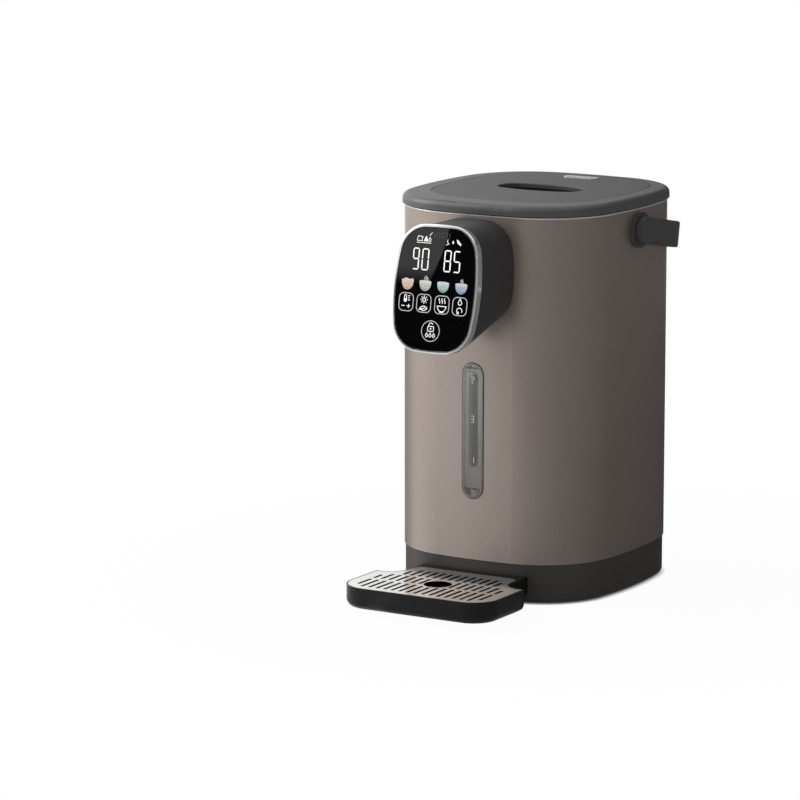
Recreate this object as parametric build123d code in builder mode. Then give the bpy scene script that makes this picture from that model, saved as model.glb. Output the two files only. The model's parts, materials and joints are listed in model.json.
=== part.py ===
from build123d import *

import os
from math import atan2, cos, degrees, hypot, radians, sin, sqrt

# Hot water dispenser, five litres, free standing. All sizes are in millimetres.
# The body's upright axis is Z, the table is z = 0 and the control head faces -Y.

# Body seen from above: two shallow sides, two shallow faces and four round corners
body_half_width = 102.0
body_extra_depth = 9.0
body_side_radius = 375.0
body_face_radius = 358.0
body_corner_radius = 69.0

# Sleeve, base and rim
foot_height = 1.2
base_top = 35.0
sleeve_top = 338.0
rim_height = 9.0
sleeve_wall = 1.0
slip_gap = 0.2
base_inset = 1.0
base_wall = 2.5
cut_past = 1.0
base_edge_radius = 3.0
base_lip_width = 5.0
spigot_height = 8.0
deck_low = 8.0
deck_thickness = 2.5
cover_thickness = 3.0
cover_gap = 0.4
rim_overhang = 2.0
rim_edge_radius = 5.5
rim_deck = 3.0
skirt_wall = 2.2
skirt_depth = 16.0

# Feet and the screws of the base
foot_radius = 10.0
foot_stem_radius = 2.7
foot_inset = (36.0, 37.0)
base_screw_inset = (62.0, 27.0)
boss_radius = 4.2
vent_slot_length = 34.0
vent_slot_width = 3.0
vent_slot_pitch = 9.0
vent_slot_count = 5

# Screws: head radius, head height and shank radius
screw_head_radius = 2.9
screw_head_height = 1.7
screw_radius = 1.4
screw_gap = 0.1
screw_bite = 7.0
seat_gap = 0.05
small_screw_radius = 0.7
small_screw_head_radius = 1.4
small_screw_head_height = 1.4

# Lid seen from above, and its layers
pot_set_back = 8.0
lid_margin = 17.0
lid_side_radius = 300.0
lid_face_radius = 285.0
lid_corner_radius = 59.0
lid_edge_radius = 0.8
lid_gap = 0.4
lid_wall = 2.2
lid_plate = 3.0
lid_base_thickness = 2.5
lid_seal_thickness = 2.7
lid_seal_width = 4.5
lid_seal_margin = 1.5
lid_rest_gap = 0.3
lid_liner_gap = 1.5
lid_liner_depth = 6.0
lid_liner_sheet = 0.8
lid_screw_inset = (23.0, 28.0)

# Finger recess in the lid
recess_half_width = 40.0
recess_half_depth = 20.0
recess_side_radius = 30.0
recess_face_radius = 115.0
recess_corner_radius = 13.0
recess_lip = 4.0
recess_undercut = 5.0
recess_wall = 2.0
recess_depth = 23.0
recess_edge_radius = 1.2

# Steam vent plate near the rear edge of the lid
vent_plate_length = 34.0
vent_plate_width = 10.0
vent_plate_inset = 20.5
vent_plate_proud = 1.0
vent_stem_radius = 3.0
vent_hole_radius = 1.2
vent_hole_count = 5
vent_hole_pitch = 5.5

# Inner pot, hung by its flange
pot_side_space = 17.5
pot_wall = 0.8
pot_floor_rise = 43.0
pot_corner_radius = 6.0
pot_flange_width = 8.0
pot_seat_depth = 30.0
pot_seal_thickness = 3.2
pot_seal_margin = 1.0
shelf_thickness = 2.5
shelf_mouth_inset = 6.5
support_thickness = 3.0
support_inset = 4.6
support_gap = 0.6
support_screw_margin = 4.5
support_screw_angle = 46.0
jacket_gap = 0.2
jacket_thickness = 5.5
jacket_low_margin = 6.0
jacket_high_margin = 5.0
jacket_notch = 9.0

# Heater and thermostat below the pot
heater_inset = 26.5
heater_thickness = 6.3
heater_chamfer = 1.6
heater_terminal_radius = 2.5
heater_terminal_length = 5.0
heater_terminal_x = 36.0
heater_terminal_offset = 4.0
thermostat_radius = 9.0
thermostat_height = 8.0
thermostat_flange_radius = 11.0
thermostat_flange_thickness = 1.0

# Pump on the deck of the base, under the outlet of the pot
pot_outlet_inset = 14.5
motor_radius = 15.0
motor_height = 21.5
motor_chamfer = 1.0
cradle_wall = 2.2
cradle_height = 5.5
casing_radius = 22.0
casing_wall = 2.7
casing_height = 14.0
casing_floor = 3.0
casing_lid = 3.0
casing_ear_reach = 24.0
casing_ear_radius = 3.4
casing_ear_angles = (30.0, 150.0, 250.0)
nipple_radius = 4.5
nipple_bore = 3.2
nipple_length = 9.0
pump_outlet_x = 17.0
pump_outlet_reach = 26.0
pump_outlet_radius = 4.0
pump_outlet_bore = 2.6
rotor_radius = 16.5
rotor_disc = 1.8
rotor_hub_radius = 4.0
rotor_rest_gap = 0.4
rotor_top_gap = 1.5
rotor_blade = 1.2
rotor_blade_root = 2.0
rotor_blade_count = 6
pin_radius = 1.5
pin_gap = 0.05

# Tee between pot, pump and level tube
tee_wall = 2.7
tee_end_gap = 1.5
tube_radius = 3.6
tube_bore = 2.4
hose_gap = 0.05
hose_wall = 1.75
hose_bend = 12.0
hose_end_gap = 1.0
outlet_nipple_length = 10.0
branch_depth = 15.5
branch_reach = 24.0
level_hose_cover = 12.0

# Level tube, its holder and the window in the sleeve
level_inset = 8.0
level_tube_below = 1.0
level_tube_above = 4.0
level_overlap = 8.0
vent_nipple_depth = 12.0
vent_nipple_length = 13.0
holder_half_width = 10.2
holder_depth = 11.4
holder_low_inset = 9.0
holder_high_inset = 5.5
channel_width = 9.0
channel_low_inset = 27.7
channel_high_inset = 8.0
window_rise = 54.0
window_drop = 130.0
window_half_width = 10.2
window_flange = 1.8
window_proud = 0.8
window_depth = 2.0
window_gap = 0.1

# Riser tube to the spout
riser_inset = 14.0
riser_turn_drop = 72.0
riser_wall = 1.25
riser_first_bend = 8.0
spout_reach = 39.0
spout_tip_drop = 114.0
spout_radius = 8.0
spout_top_drop = 86.0
spout_flange_radius = 11.0
spout_flange_thickness = 2.0
spout_flange_drop = 96.5
spout_tip_radius = 6.0
spout_pad_margin = 1.0

# Control head: glass panel tilted back, polished bezel and tapering housing
panel_reach = 64.5
panel_drop = 56.7
panel_tilt = 9.7
panel_half_width = 38.5
panel_half_height = 52.3
panel_side_radius = 202.0
panel_end_radius = 210.0
panel_corner_radius = 24.0
glass_thickness = 2.2
glass_gap = 0.1
bezel_width = 2.5
bezel_proud = 0.5
bezel_depth = 8.5
bezel_edge_radius = 1.2
bezel_ledge = 7.0
bezel_boss_radius = 2.2
bezel_boss_height = 2.6
bezel_boss_inset = 7.6
housing_grow = 2.0
housing_wall = 2.5
housing_back = 3.0
neck_inset = 7.0
neck_drop = 48.0
neck_half_width = 39.0
neck_half_height = 44.0
neck_side_radius = 141.0
neck_end_radius = 132.0
neck_corner_radius = 27.4
neck_gap = 0.1
duct_width = 44.0
duct_low_drop = 78.0
duct_high_drop = 30.0
duct_corner = 6.0
head_screw_x = 27.0
head_screw_low_drop = 74.0
head_screw_high_drop = 25.0
head_boss_radius = 4.5
head_boss_length = 10.0
head_boss_floor = 1.0
bracket_thickness = 2.0
bracket_half_width = 33.0
bracket_low_drop = 85.0
bracket_high_drop = 18.0
bracket_notch_gap = 1.0
board_inset = 3.8
board_thickness = 1.6
digit_block = (22.0, 20.0)
digit_block_x = 14.5
digit_block_y = 24.6
digit_block_gap = 0.2

# Carrying handle: a flat bail round the back, resting a little below level
pivot_y = -1.5
pivot_drop = 20.0
pivot_length = 3.5
pivot_radius = 15.5
pivot_pin_radius = 5.5
pivot_pin_gap = 0.06
pivot_pin_length = 3.7
pivot_pin_end_gap = 0.3
pivot_root = 2.0
handle_grip_space = 23.0
handle_side_radius = 345.0
handle_back_radius = 335.0
handle_corner_radius = 86.0
handle_thickness = 5.2
handle_height = 23.0
handle_end_radius = 12.0
handle_edge_radius = 1.6
handle_side_gap = 0.8
handle_droop = 10.0
lug_thickness = 3.0
lug_half_width = 12.0
lug_drop = 34.0

# Drip tray and its steel grille
tray_low = 5.0
tray_top = 24.4
tray_half_width = 73.5
tray_reach = 107.0
tray_wing_reach = 39.0
tray_front_radius = 25.0
tray_neck_half_width = 52.0
tray_shoulder_radius = 17.0
tray_edge_radius = 7.0
tray_gap = 0.6
tray_wall = 2.4
tray_rim = 1.0
tray_floor = 2.2
grille_thickness = 1.2
grille_gap = 0.4
grille_rear_reach = 7.5
grille_rear_radius = 8.0
basin_rear_reach = 10.0
slot_pitch = 7.5
slot_width = 3.1
slot_rows = [
    {"front": 99.0, "rear": 70.0, "half_count": 8, "front_cut": 7.0, "rear_cut": 0.0},
    {"front": 66.0, "rear": 45.0, "half_count": 8, "front_cut": 0.0, "rear_cut": 7.0},
    {"front": 42.0, "rear": 20.0, "half_count": 6, "front_cut": 0.0, "rear_cut": 7.0},
]
drain_reach = 59.0
drain_radius = 12.2
drain_margin = 2.7
prong_x = 34.0
prong_width = 10.0
prong_low = 13.0
prong_high = 20.0
prong_reach = 16.0
prong_gap = 0.4

# Mains inlet in the back of the base
inlet_z = 22.0
inlet_flange_width = 32.0
inlet_flange_height = 23.0
inlet_flange_thickness = 2.0
inlet_body_width = 28.0
inlet_body_height = 19.6
inlet_body_depth = 22.0
inlet_gap = 0.2
socket_width = 24.4
socket_height = 16.6
socket_depth = 17.0
socket_chamfer = 4.0
blade_spacing = 14.0
blade_width = 2.0
blade_height = 4.0
blade_length = 15.5
blade_rise = 2.0

# Control board on four posts
board_half_width = 48.0
board_depth = 80.0
board_inset_rear = 31.0
board_post_height = 6.5
board_post_radius = 3.0
board_post_inset = 5.0
board_blocks = [
    {"x": (-22.0, 12.0), "y": (26.0, 56.0), "height": 22.0},
    {"x": (-44.0, -28.0), "y": (30.0, 58.0), "height": 15.0},
    {"x": (34.0, 44.0), "y": (28.0, 60.0), "height": 18.0},
]
board_cans = [
    {"x": 24.0, "y": 30.0, "radius": 8.0, "height": 20.0},
    {"x": 24.0, "y": 50.0, "radius": 6.0, "height": 16.0},
]
lead_radius = 1.3
lead_bend = 4.0
mains_lead_rise = 5.0
mains_lead_drop = 6.0
heater_lead_x = 28.8
heater_lead_turn = (18.0, 30.0)
pump_lead_x = 3.0
pump_lead_depth = 4.0
pump_lead_inset = 10.0
cable_radius = 2.2
cable_x = -15.0
cable_start_x = -22.0
cable_start_inset = 12.0
cable_rise = 40.0
cable_end_x = -9.0
cable_end_y = 6.0
cable_end_run = 22.0
cable_inset = 14.0

# Sizes, places and levels that follow from the sizes above
body_half_depth = body_half_width + body_extra_depth
front_y = -body_half_depth
rim_top = sleeve_top + rim_height
lid_centre_y = pot_set_back
lid_half_width = body_half_width - lid_margin
lid_half_depth = body_half_depth - lid_margin
recess_floor = rim_top - recess_depth
vent_plate_y = lid_centre_y + lid_half_depth - vent_plate_inset
pot_radius = body_half_width - pot_side_space
pot_floor = base_top + pot_floor_rise
pot_flange_radius = pot_radius + pot_flange_width
pot_seat = sleeve_top - pot_seat_depth
shelf_mouth_radius = pot_radius - shelf_mouth_inset
lid_liner_radius = shelf_mouth_radius - lid_liner_gap
lid_seal_inner = shelf_mouth_radius + lid_seal_margin
lid_seal_outer = lid_seal_inner + lid_seal_width
support_screw_reach = pot_flange_radius + support_screw_margin
jacket_low = pot_floor + jacket_low_margin
jacket_high = pot_seat - jacket_high_margin
heater_radius = pot_radius - heater_inset
heater_terminal_y = lid_centre_y + heater_terminal_offset
pump_y = lid_centre_y - pot_radius + pot_outlet_inset
branch_z = pot_floor - branch_depth
window_low = base_top + window_rise
window_high = sleeve_top - window_drop
level_y = front_y + level_inset
level_tube_low = window_low - level_tube_below
level_tube_high = window_high + level_tube_above
vent_nipple_z = pot_seat - vent_nipple_depth
holder_low = window_low + holder_low_inset
holder_high = window_high - holder_high_inset
channel_low = window_low + channel_low_inset
channel_high = window_high - channel_high_inset
riser_y = front_y + riser_inset
riser_turn_z = sleeve_top - riser_turn_drop
spout_y = front_y - spout_reach
spout_tip_z = sleeve_top - spout_tip_drop
spout_top_z = sleeve_top - spout_top_drop
spout_flange_z = sleeve_top - spout_flange_drop
panel_y = front_y - panel_reach
panel_z = sleeve_top - panel_drop
neck_y = front_y + neck_inset
neck_z = sleeve_top - neck_drop
duct_low = sleeve_top - duct_low_drop
duct_high = sleeve_top - duct_high_drop
head_screw_low = sleeve_top - head_screw_low_drop
head_screw_high = sleeve_top - head_screw_high_drop
bracket_low = sleeve_top - bracket_low_drop
bracket_high = sleeve_top - bracket_high_drop
pivot_z = sleeve_top - pivot_drop
pivot_face_x = body_half_width + pivot_length
handle_inner_x = pivot_face_x + handle_side_gap
handle_half_width = handle_inner_x + handle_thickness
handle_reach = body_half_depth + handle_grip_space
lug_low = sleeve_top - lug_drop
tray_front_y = front_y - tray_reach
tray_wing_y = front_y - tray_wing_reach
grille_rear_y = front_y - grille_rear_reach
basin_rear_y = front_y - basin_rear_reach
drain_y = front_y - drain_reach
board_rear_y = body_half_depth - board_inset_rear
board_front_y = board_rear_y - board_depth
cable_start_y = board_front_y + cable_start_inset
cable_y = front_y + cable_inset
deck_top = deck_low + deck_thickness
cover_top = foot_height + cover_thickness
board_low = deck_top + board_post_height
board_top = board_low + board_thickness
motor_top = deck_top + motor_height
casing_top = motor_top + casing_height
casing_lid_top = casing_top + casing_lid
chamber_floor = motor_top + casing_floor
pump_outlet_z = (chamber_floor + casing_top) / 2
pot_underside = pot_floor - pot_wall
flange_top = pot_seat + pot_wall
shelf_low = flange_top + pot_seal_thickness
shelf_top = shelf_low + shelf_thickness
seal_low = shelf_top + lid_rest_gap
lid_base_low = seal_low + lid_seal_thickness
lid_base_top = lid_base_low + lid_base_thickness
heater_low = pot_underside - heater_thickness
outlet_tip_z = pot_underside - outlet_nipple_length
tee_low = casing_lid_top + tee_end_gap
tee_high = pot_underside - tee_end_gap
tee_radius = nipple_radius + hose_gap + tee_wall
hose_bore = tube_radius + hose_gap
hose_radius = hose_bore + hose_wall
riser_bore = pump_outlet_radius + hose_gap
riser_radius = riser_bore + riser_wall
grille_low = tray_top - grille_thickness
skirt_outer = -sleeve_wall - slip_gap
lug_outer = skirt_outer - lug_thickness
foot_places = (body_half_width - foot_inset[0], body_half_depth - foot_inset[1])
base_screw_places = (body_half_width - base_screw_inset[0], body_half_depth - base_screw_inset[1])
lid_screw_places = (lid_half_width - lid_screw_inset[0], lid_half_depth - lid_screw_inset[1])
pot_axis = Axis((0, lid_centre_y, 0), (0, 0, 1))

panel = Plane(
    origin=(0, panel_y, panel_z),
    x_dir=(1, 0, 0),
    z_dir=(0, -cos(radians(panel_tilt)), sin(radians(panel_tilt))),
)
bezel_back = panel.offset(bezel_proud - bezel_depth)
neck = Plane(origin=(0, neck_y, neck_z), x_dir=(1, 0, 0), z_dir=(0, -1, 0))
handle_plane = Plane(
    origin=(0, pivot_y, pivot_z),
    x_dir=(1, 0, 0),
    z_dir=(0, sin(radians(handle_droop)), cos(radians(handle_droop))),
)
from_below = (Align.CENTER, Align.CENTER, Align.MIN)
from_above = (Align.CENTER, Align.CENTER, Align.MAX)
along_x = (0, 90, 0)
along_minus_x = (0, -90, 0)
along_minus_y = (90, 0, 0)


def four_arc_outline(half_width, half_depth, side_radius, face_radius, corner_radius, grow=0.0):
    # Eight tangent arcs: two sides, two faces and four corners, all moved outwards by grow.
    side_x = half_width - side_radius
    face_y = half_depth - face_radius
    span = hypot(side_x, face_y)
    side_reach = side_radius - corner_radius
    face_reach = face_radius - corner_radius
    along = (side_reach**2 - face_reach**2 + span**2) / (2 * span)
    across = sqrt(side_reach**2 - along**2)
    corner_x = side_x - along * side_x / span - across * face_y / span
    corner_y = along * face_y / span - across * side_x / span
    side_angle = degrees(atan2(corner_y, corner_x - side_x))
    face_angle = degrees(atan2(corner_x, corner_y - face_y))
    corner_angle = 90 - side_angle - face_angle
    with BuildSketch(mode=Mode.PRIVATE) as outline:
        with BuildLine():
            for turn, sign in ((0, 1), (180, -1)):
                CenterArc((sign * side_x, 0), side_radius + grow, turn - side_angle, 2 * side_angle)
                CenterArc((sign * corner_x, sign * corner_y), corner_radius + grow,
                          turn + side_angle, corner_angle)
                CenterArc((0, sign * face_y), face_radius + grow, turn + 90 - face_angle, 2 * face_angle)
                CenterArc((-sign * corner_x, sign * corner_y), corner_radius + grow,
                          turn + 90 + face_angle, corner_angle)
        make_face()
    return outline.sketch


def body_outline(grow=0.0):
    return four_arc_outline(body_half_width, body_half_depth, body_side_radius,
                            body_face_radius, body_corner_radius, grow)


def lid_outline(grow=0.0):
    return four_arc_outline(lid_half_width, lid_half_depth, lid_side_radius,
                            lid_face_radius, lid_corner_radius, grow)


def recess_outline(grow=0.0):
    return four_arc_outline(recess_half_width, recess_half_depth, recess_side_radius,
                            recess_face_radius, recess_corner_radius, grow)


def panel_outline(grow=0.0):
    return four_arc_outline(panel_half_width, panel_half_height, panel_side_radius,
                            panel_end_radius, panel_corner_radius, grow)


def neck_outline(grow=0.0):
    return four_arc_outline(neck_half_width, neck_half_height, neck_side_radius,
                            neck_end_radius, neck_corner_radius, grow)


def handle_outline(grow=0.0):
    return four_arc_outline(handle_half_width, handle_reach, handle_side_radius,
                            handle_back_radius, handle_corner_radius, grow)


def slab(outline, low, high, mode=Mode.ADD, centre_y=0.0):
    # An outline seen from above, raised from one level to another.
    with BuildSketch(Plane((0, centre_y, low))) as face:
        add(outline)
    extrude(face.sketch, amount=high - low, mode=mode)


def drum(x, y, radius, low, high, mode=Mode.ADD):
    with Locations((x, y, low)):
        Cylinder(radius, high - low, align=from_below, mode=mode)


def block(x_span, y_span, z_span, mode=Mode.ADD):
    centre = [(span[0] + span[1]) / 2 for span in (x_span, y_span, z_span)]
    size = [span[1] - span[0] for span in (x_span, y_span, z_span)]
    with Locations(tuple(centre)):
        Box(*size, mode=mode)


def forward_rod(x, z, radius, start_y, end_y, mode=Mode.ADD):
    # A round bar that runs from start_y towards the front, to end_y.
    with Locations(Location((x, start_y, z), along_minus_y)):
        Cylinder(radius, start_y - end_y, align=from_below, mode=mode)


def capsule(low, high, half_width, back_y, front_y, mode=Mode.ADD):
    # An upright slot shape on the front of the body, from back_y forwards to front_y.
    with BuildSketch(Plane.XZ.offset(-back_y)) as face:
        with Locations((0, (low + high) / 2)):
            SlotOverall(high - low, 2 * half_width, rotation=90)
    extrude(face.sketch, amount=back_y - front_y, mode=mode)


def screw(length):
    # A screw whose head rests on the local origin and whose shank points up.
    Cylinder(screw_head_radius, screw_head_height, align=from_above)
    Cylinder(screw_radius, length, align=from_below)


def hose(points, bend, radius, bore=0.0):
    with BuildLine() as route:
        FilletPolyline(*points, radius=bend)
    start = Plane(origin=route.line @ 0, z_dir=route.line % 0)
    with BuildSketch(start) as section:
        Circle(radius)
        if bore:
            Circle(bore, mode=Mode.SUBTRACT)
    sweep(section.sketch, path=route.line)


def mirrored(*points):
    return [(sign_x * x, sign_y * y) for x, y in points for sign_x in (1, -1) for sign_y in (1, -1)]


# Outer metal sleeve with its openings for window, head and handle screws
window_slot = window_half_width - window_flange

with BuildPart() as outer_shell:
    slab(body_outline(), base_top, sleeve_top)
    slab(body_outline(-sleeve_wall), base_top, sleeve_top, Mode.SUBTRACT)
    capsule(window_low + window_flange, window_high - window_flange, window_slot + window_gap,
            level_y, -body_half_depth - cut_past, Mode.SUBTRACT)
    with BuildSketch(Plane.XZ.offset(-level_y)):
        with Locations((0, (duct_low + duct_high) / 2)):
            RectangleRounded(duct_width, duct_high - duct_low, duct_corner)
    extrude(amount=body_half_depth, mode=Mode.SUBTRACT)
    for x in (-head_screw_x, head_screw_x):
        for z in (head_screw_low, head_screw_high):
            forward_rod(x, z, screw_radius + screw_gap, level_y, -body_half_depth - cut_past,
                        Mode.SUBTRACT)
    for side in (-1, 1):
        with Locations(Location((side * body_half_width, pivot_y, pivot_z), along_x)):
            Cylinder(screw_radius + screw_gap, 2 * (sleeve_wall + cut_past), mode=Mode.SUBTRACT)

# Base housing: band, deck, spigot inside the sleeve, bosses and cradle
base_inside = -base_inset - base_wall
cover_seat = -base_inset - base_lip_width
base_rear = body_half_depth - base_inset

with BuildPart() as base_housing:
    slab(body_outline(-base_inset), foot_height, base_top)
    fillet(faces().sort_by(Axis.Z)[0].edges(), base_edge_radius)
    slab(body_outline(skirt_outer), base_top, base_top + spigot_height)
    slab(body_outline(base_inside), deck_top, base_top + spigot_height, Mode.SUBTRACT)
    slab(body_outline(base_inside), cover_top, deck_low, Mode.SUBTRACT)
    slab(body_outline(cover_seat), foot_height, cover_top, Mode.SUBTRACT)
    for x, y in mirrored(base_screw_places):
        drum(x, y, boss_radius, cover_top, deck_low)
        drum(x, y, screw_radius + screw_gap, cover_top, deck_top - screw_gap, Mode.SUBTRACT)
    drum(0, pump_y, motor_radius + slip_gap + cradle_wall, deck_top, deck_top + cradle_height)
    drum(0, pump_y, motor_radius + slip_gap, deck_top, deck_top + cradle_height, Mode.SUBTRACT)
    for x in (board_post_inset - board_half_width, board_half_width - board_post_inset):
        for y in (board_front_y + board_post_inset, board_rear_y - board_post_inset):
            drum(x, y, board_post_radius, deck_top, board_low)
            drum(x, y, screw_radius + screw_gap, deck_top, board_low, Mode.SUBTRACT)
    for x in (-prong_x, prong_x):
        block((x - prong_width / 2 - prong_gap, x + prong_width / 2 + prong_gap),
              (-body_half_depth, -body_half_depth + prong_reach),
              (prong_low - prong_gap, prong_high + prong_gap), Mode.SUBTRACT)
    block((-inlet_body_width / 2 - inlet_gap, inlet_body_width / 2 + inlet_gap),
          (base_rear - inlet_body_depth, base_rear + base_wall),
          (inlet_z - inlet_body_height / 2 - inlet_gap, inlet_z + inlet_body_height / 2 + inlet_gap),
          Mode.SUBTRACT)
    for step in range(vent_slot_count):
        vent_x = (step - (vent_slot_count - 1) / 2) * vent_slot_pitch
        block((vent_x - vent_slot_width / 2, vent_x + vent_slot_width / 2),
              (lid_centre_y, lid_centre_y + vent_slot_length), (deck_low, deck_top), Mode.SUBTRACT)

# Bottom cover with countersunk screw places and air slots
with BuildPart() as base_cover:
    slab(body_outline(cover_seat - cover_gap), foot_height, cover_top)
    for x, y in mirrored(base_screw_places):
        drum(x, y, screw_head_radius + slip_gap, foot_height, foot_height + screw_head_height,
             Mode.SUBTRACT)
        drum(x, y, screw_radius + screw_gap, foot_height, cover_top, Mode.SUBTRACT)
    for x, y in mirrored(foot_places):
        drum(x, y, foot_stem_radius + slip_gap, foot_height, cover_top, Mode.SUBTRACT)
    for step in range(vent_slot_count):
        vent_x = (step - (vent_slot_count - 1) / 2) * vent_slot_pitch
        block((vent_x - vent_slot_width / 2, vent_x + vent_slot_width / 2),
              (lid_centre_y, lid_centre_y + vent_slot_length), (foot_height, cover_top), Mode.SUBTRACT)

with BuildPart() as feet:
    for x, y in mirrored(foot_places):
        drum(x, y, foot_radius, 0, foot_height)
        drum(x, y, foot_stem_radius, foot_height, cover_top)

with BuildPart() as base_screws:
    with Locations(*[(x, y, foot_height + screw_head_height) for x, y in
                     mirrored(base_screw_places)]):
        screw(deck_low - foot_height - screw_head_height)

# Top ring: rim, skirt inside the sleeve, lid well, shelf over the pot and lugs for the handle
deck_inside = skirt_outer - skirt_wall
support_screw_places = [
    (sign_x * support_screw_reach * cos(radians(support_screw_angle)),
     lid_centre_y + sign_y * support_screw_reach * sin(radians(support_screw_angle)))
    for sign_x in (1, -1) for sign_y in (1, -1)
]

with BuildPart() as top_ring:
    slab(body_outline(rim_overhang), sleeve_top, rim_top)
    fillet(faces().sort_by(Axis.Z)[-1].edges(), rim_edge_radius)
    slab(body_outline(deck_inside), sleeve_top, rim_top - rim_deck, Mode.SUBTRACT)
    slab(body_outline(skirt_outer), sleeve_top - skirt_depth, sleeve_top)
    slab(body_outline(deck_inside), sleeve_top - skirt_depth, sleeve_top, Mode.SUBTRACT)
    slab(lid_outline(lid_gap + lid_wall), shelf_low, rim_top - rim_deck, centre_y=lid_centre_y)
    for x, y in support_screw_places:
        drum(x, y, boss_radius, pot_seat, shelf_low)
    slab(lid_outline(lid_gap), shelf_top, rim_top, Mode.SUBTRACT, lid_centre_y)
    drum(0, lid_centre_y, shelf_mouth_radius, shelf_low, shelf_top, Mode.SUBTRACT)
    for x, y in support_screw_places:
        drum(x, y, screw_radius + screw_gap, pot_seat, shelf_top - screw_gap, Mode.SUBTRACT)

with BuildPart() as handle_lugs:
    slab(body_outline(skirt_outer), lug_low, sleeve_top - skirt_depth + skirt_wall)
    slab(body_outline(lug_outer), lug_low, sleeve_top - skirt_depth + skirt_wall, Mode.SUBTRACT)
    block((-body_half_width, body_half_width), (pivot_y - lug_half_width, pivot_y + lug_half_width),
          (lug_low, sleeve_top), Mode.INTERSECT)
    for side in (-1, 1):
        with Locations(Location((side * (body_half_width + lug_outer), pivot_y, pivot_z), along_x)):
            Cylinder(screw_radius + screw_gap, 2 * (lug_thickness + cut_past), mode=Mode.SUBTRACT)

with top_ring:
    add(handle_lugs.part)

with BuildPart() as pot_support_ring:
    slab(body_outline(-support_inset), pot_seat - support_thickness, pot_seat)
    drum(0, lid_centre_y, pot_radius + pot_wall + support_gap, pot_seat - support_thickness, pot_seat,
         Mode.SUBTRACT)
    for x, y in support_screw_places:
        drum(x, y, screw_radius + screw_gap, pot_seat - support_thickness, pot_seat, Mode.SUBTRACT)

with BuildPart() as ring_screws:
    with Locations(*[(x, y, pot_seat - support_thickness) for x, y in support_screw_places]):
        screw(shelf_low - pot_seat + support_thickness)

# Inner pot, turned about its own axis, with its outlet and vent nipples
pot_outside = pot_radius + pot_wall
pot_front_y = lid_centre_y - pot_outside

with BuildPart() as inner_pot:
    with BuildSketch(Plane(origin=(0, lid_centre_y, 0), x_dir=(1, 0, 0), z_dir=(0, -1, 0))) as wall:
        with BuildLine():
            Polyline((0, pot_underside), (pot_outside, pot_underside), (pot_outside, pot_seat),
                     (pot_flange_radius, pot_seat), (pot_flange_radius, flange_top),
                     (pot_radius, flange_top), (pot_radius, pot_floor), (0, pot_floor), close=True)
        make_face()
        fillet(wall.vertices().sort_by_distance((pot_outside, pot_underside))[0],
               pot_corner_radius + pot_wall)
        fillet(wall.vertices().sort_by_distance((pot_radius, pot_floor))[0], pot_corner_radius)
    revolve(axis=pot_axis)
    drum(0, pump_y, nipple_radius, outlet_tip_z, pot_underside)
    drum(0, pump_y, nipple_bore, outlet_tip_z, pot_floor, Mode.SUBTRACT)
    forward_rod(0, vent_nipple_z, tube_radius, pot_front_y + pot_wall / 2,
                pot_front_y - vent_nipple_length)
    forward_rod(0, vent_nipple_z, tube_bore, pot_front_y + 2 * pot_wall,
                pot_front_y - vent_nipple_length, Mode.SUBTRACT)

with BuildPart() as pot_gasket:
    drum(0, lid_centre_y, pot_flange_radius - pot_seal_margin, flange_top, shelf_low)
    drum(0, lid_centre_y, pot_radius + pot_seal_margin, flange_top, shelf_low, Mode.SUBTRACT)

with BuildPart() as insulation_jacket:
    drum(0, lid_centre_y, pot_outside + jacket_gap + jacket_thickness, jacket_low, jacket_high)
    drum(0, lid_centre_y, pot_outside + jacket_gap, jacket_low, jacket_high, Mode.SUBTRACT)
    block((-jacket_notch, jacket_notch), (-body_half_depth, 0),
          (vent_nipple_z - jacket_notch, jacket_high), Mode.SUBTRACT)

with BuildPart() as heater_plate:
    drum(0, lid_centre_y, heater_radius, heater_low, pot_underside)
    chamfer(faces().sort_by(Axis.Z)[0].edges(), heater_chamfer)
    for x in (-heater_terminal_x, heater_terminal_x):
        drum(x, heater_terminal_y, heater_terminal_radius, heater_low - heater_terminal_length, heater_low)

with BuildPart() as thermostat:
    drum(0, lid_centre_y, thermostat_radius, heater_low - thermostat_height, heater_low)
    drum(0, lid_centre_y, thermostat_flange_radius, heater_low - thermostat_flange_thickness, heater_low)

# Pump: motor can, casing with its pin, rotor and casing lid
with BuildPart() as pump_motor:
    drum(0, pump_y, motor_radius, deck_top, motor_top)
    chamfer(faces().sort_by(Axis.Z)[0].edges(), motor_chamfer)

casing_ears = [
    (casing_ear_reach * cos(radians(angle)), pump_y + casing_ear_reach * sin(radians(angle)))
    for angle in casing_ear_angles
]

with BuildPart() as pump_body:
    drum(0, pump_y, casing_radius, motor_top, casing_top)
    for x, y in casing_ears:
        drum(x, y, casing_ear_radius, motor_top, casing_top)
    forward_rod(pump_outlet_x, pump_outlet_z, pump_outlet_radius, pump_y, pump_y - pump_outlet_reach)
    drum(0, pump_y, casing_radius - casing_wall, chamber_floor, casing_top, Mode.SUBTRACT)
    forward_rod(pump_outlet_x, pump_outlet_z, pump_outlet_bore, pump_y - casing_wall,
                pump_y - pump_outlet_reach, Mode.SUBTRACT)
    drum(0, pump_y, pin_radius, motor_top, casing_top - rotor_rest_gap)
    for x, y in casing_ears:
        drum(x, y, screw_radius + screw_gap, casing_top - screw_bite, casing_top, Mode.SUBTRACT)

with BuildPart() as pump_cover:
    drum(0, pump_y, casing_radius, casing_top, casing_lid_top)
    for x, y in casing_ears:
        drum(x, y, casing_ear_radius, casing_top, casing_lid_top)
        drum(x, y, screw_radius + screw_gap, casing_top, casing_lid_top, Mode.SUBTRACT)
    drum(0, pump_y, nipple_radius, casing_lid_top, casing_lid_top + nipple_length)
    drum(0, pump_y, nipple_bore, casing_top, casing_lid_top + nipple_length, Mode.SUBTRACT)

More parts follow.
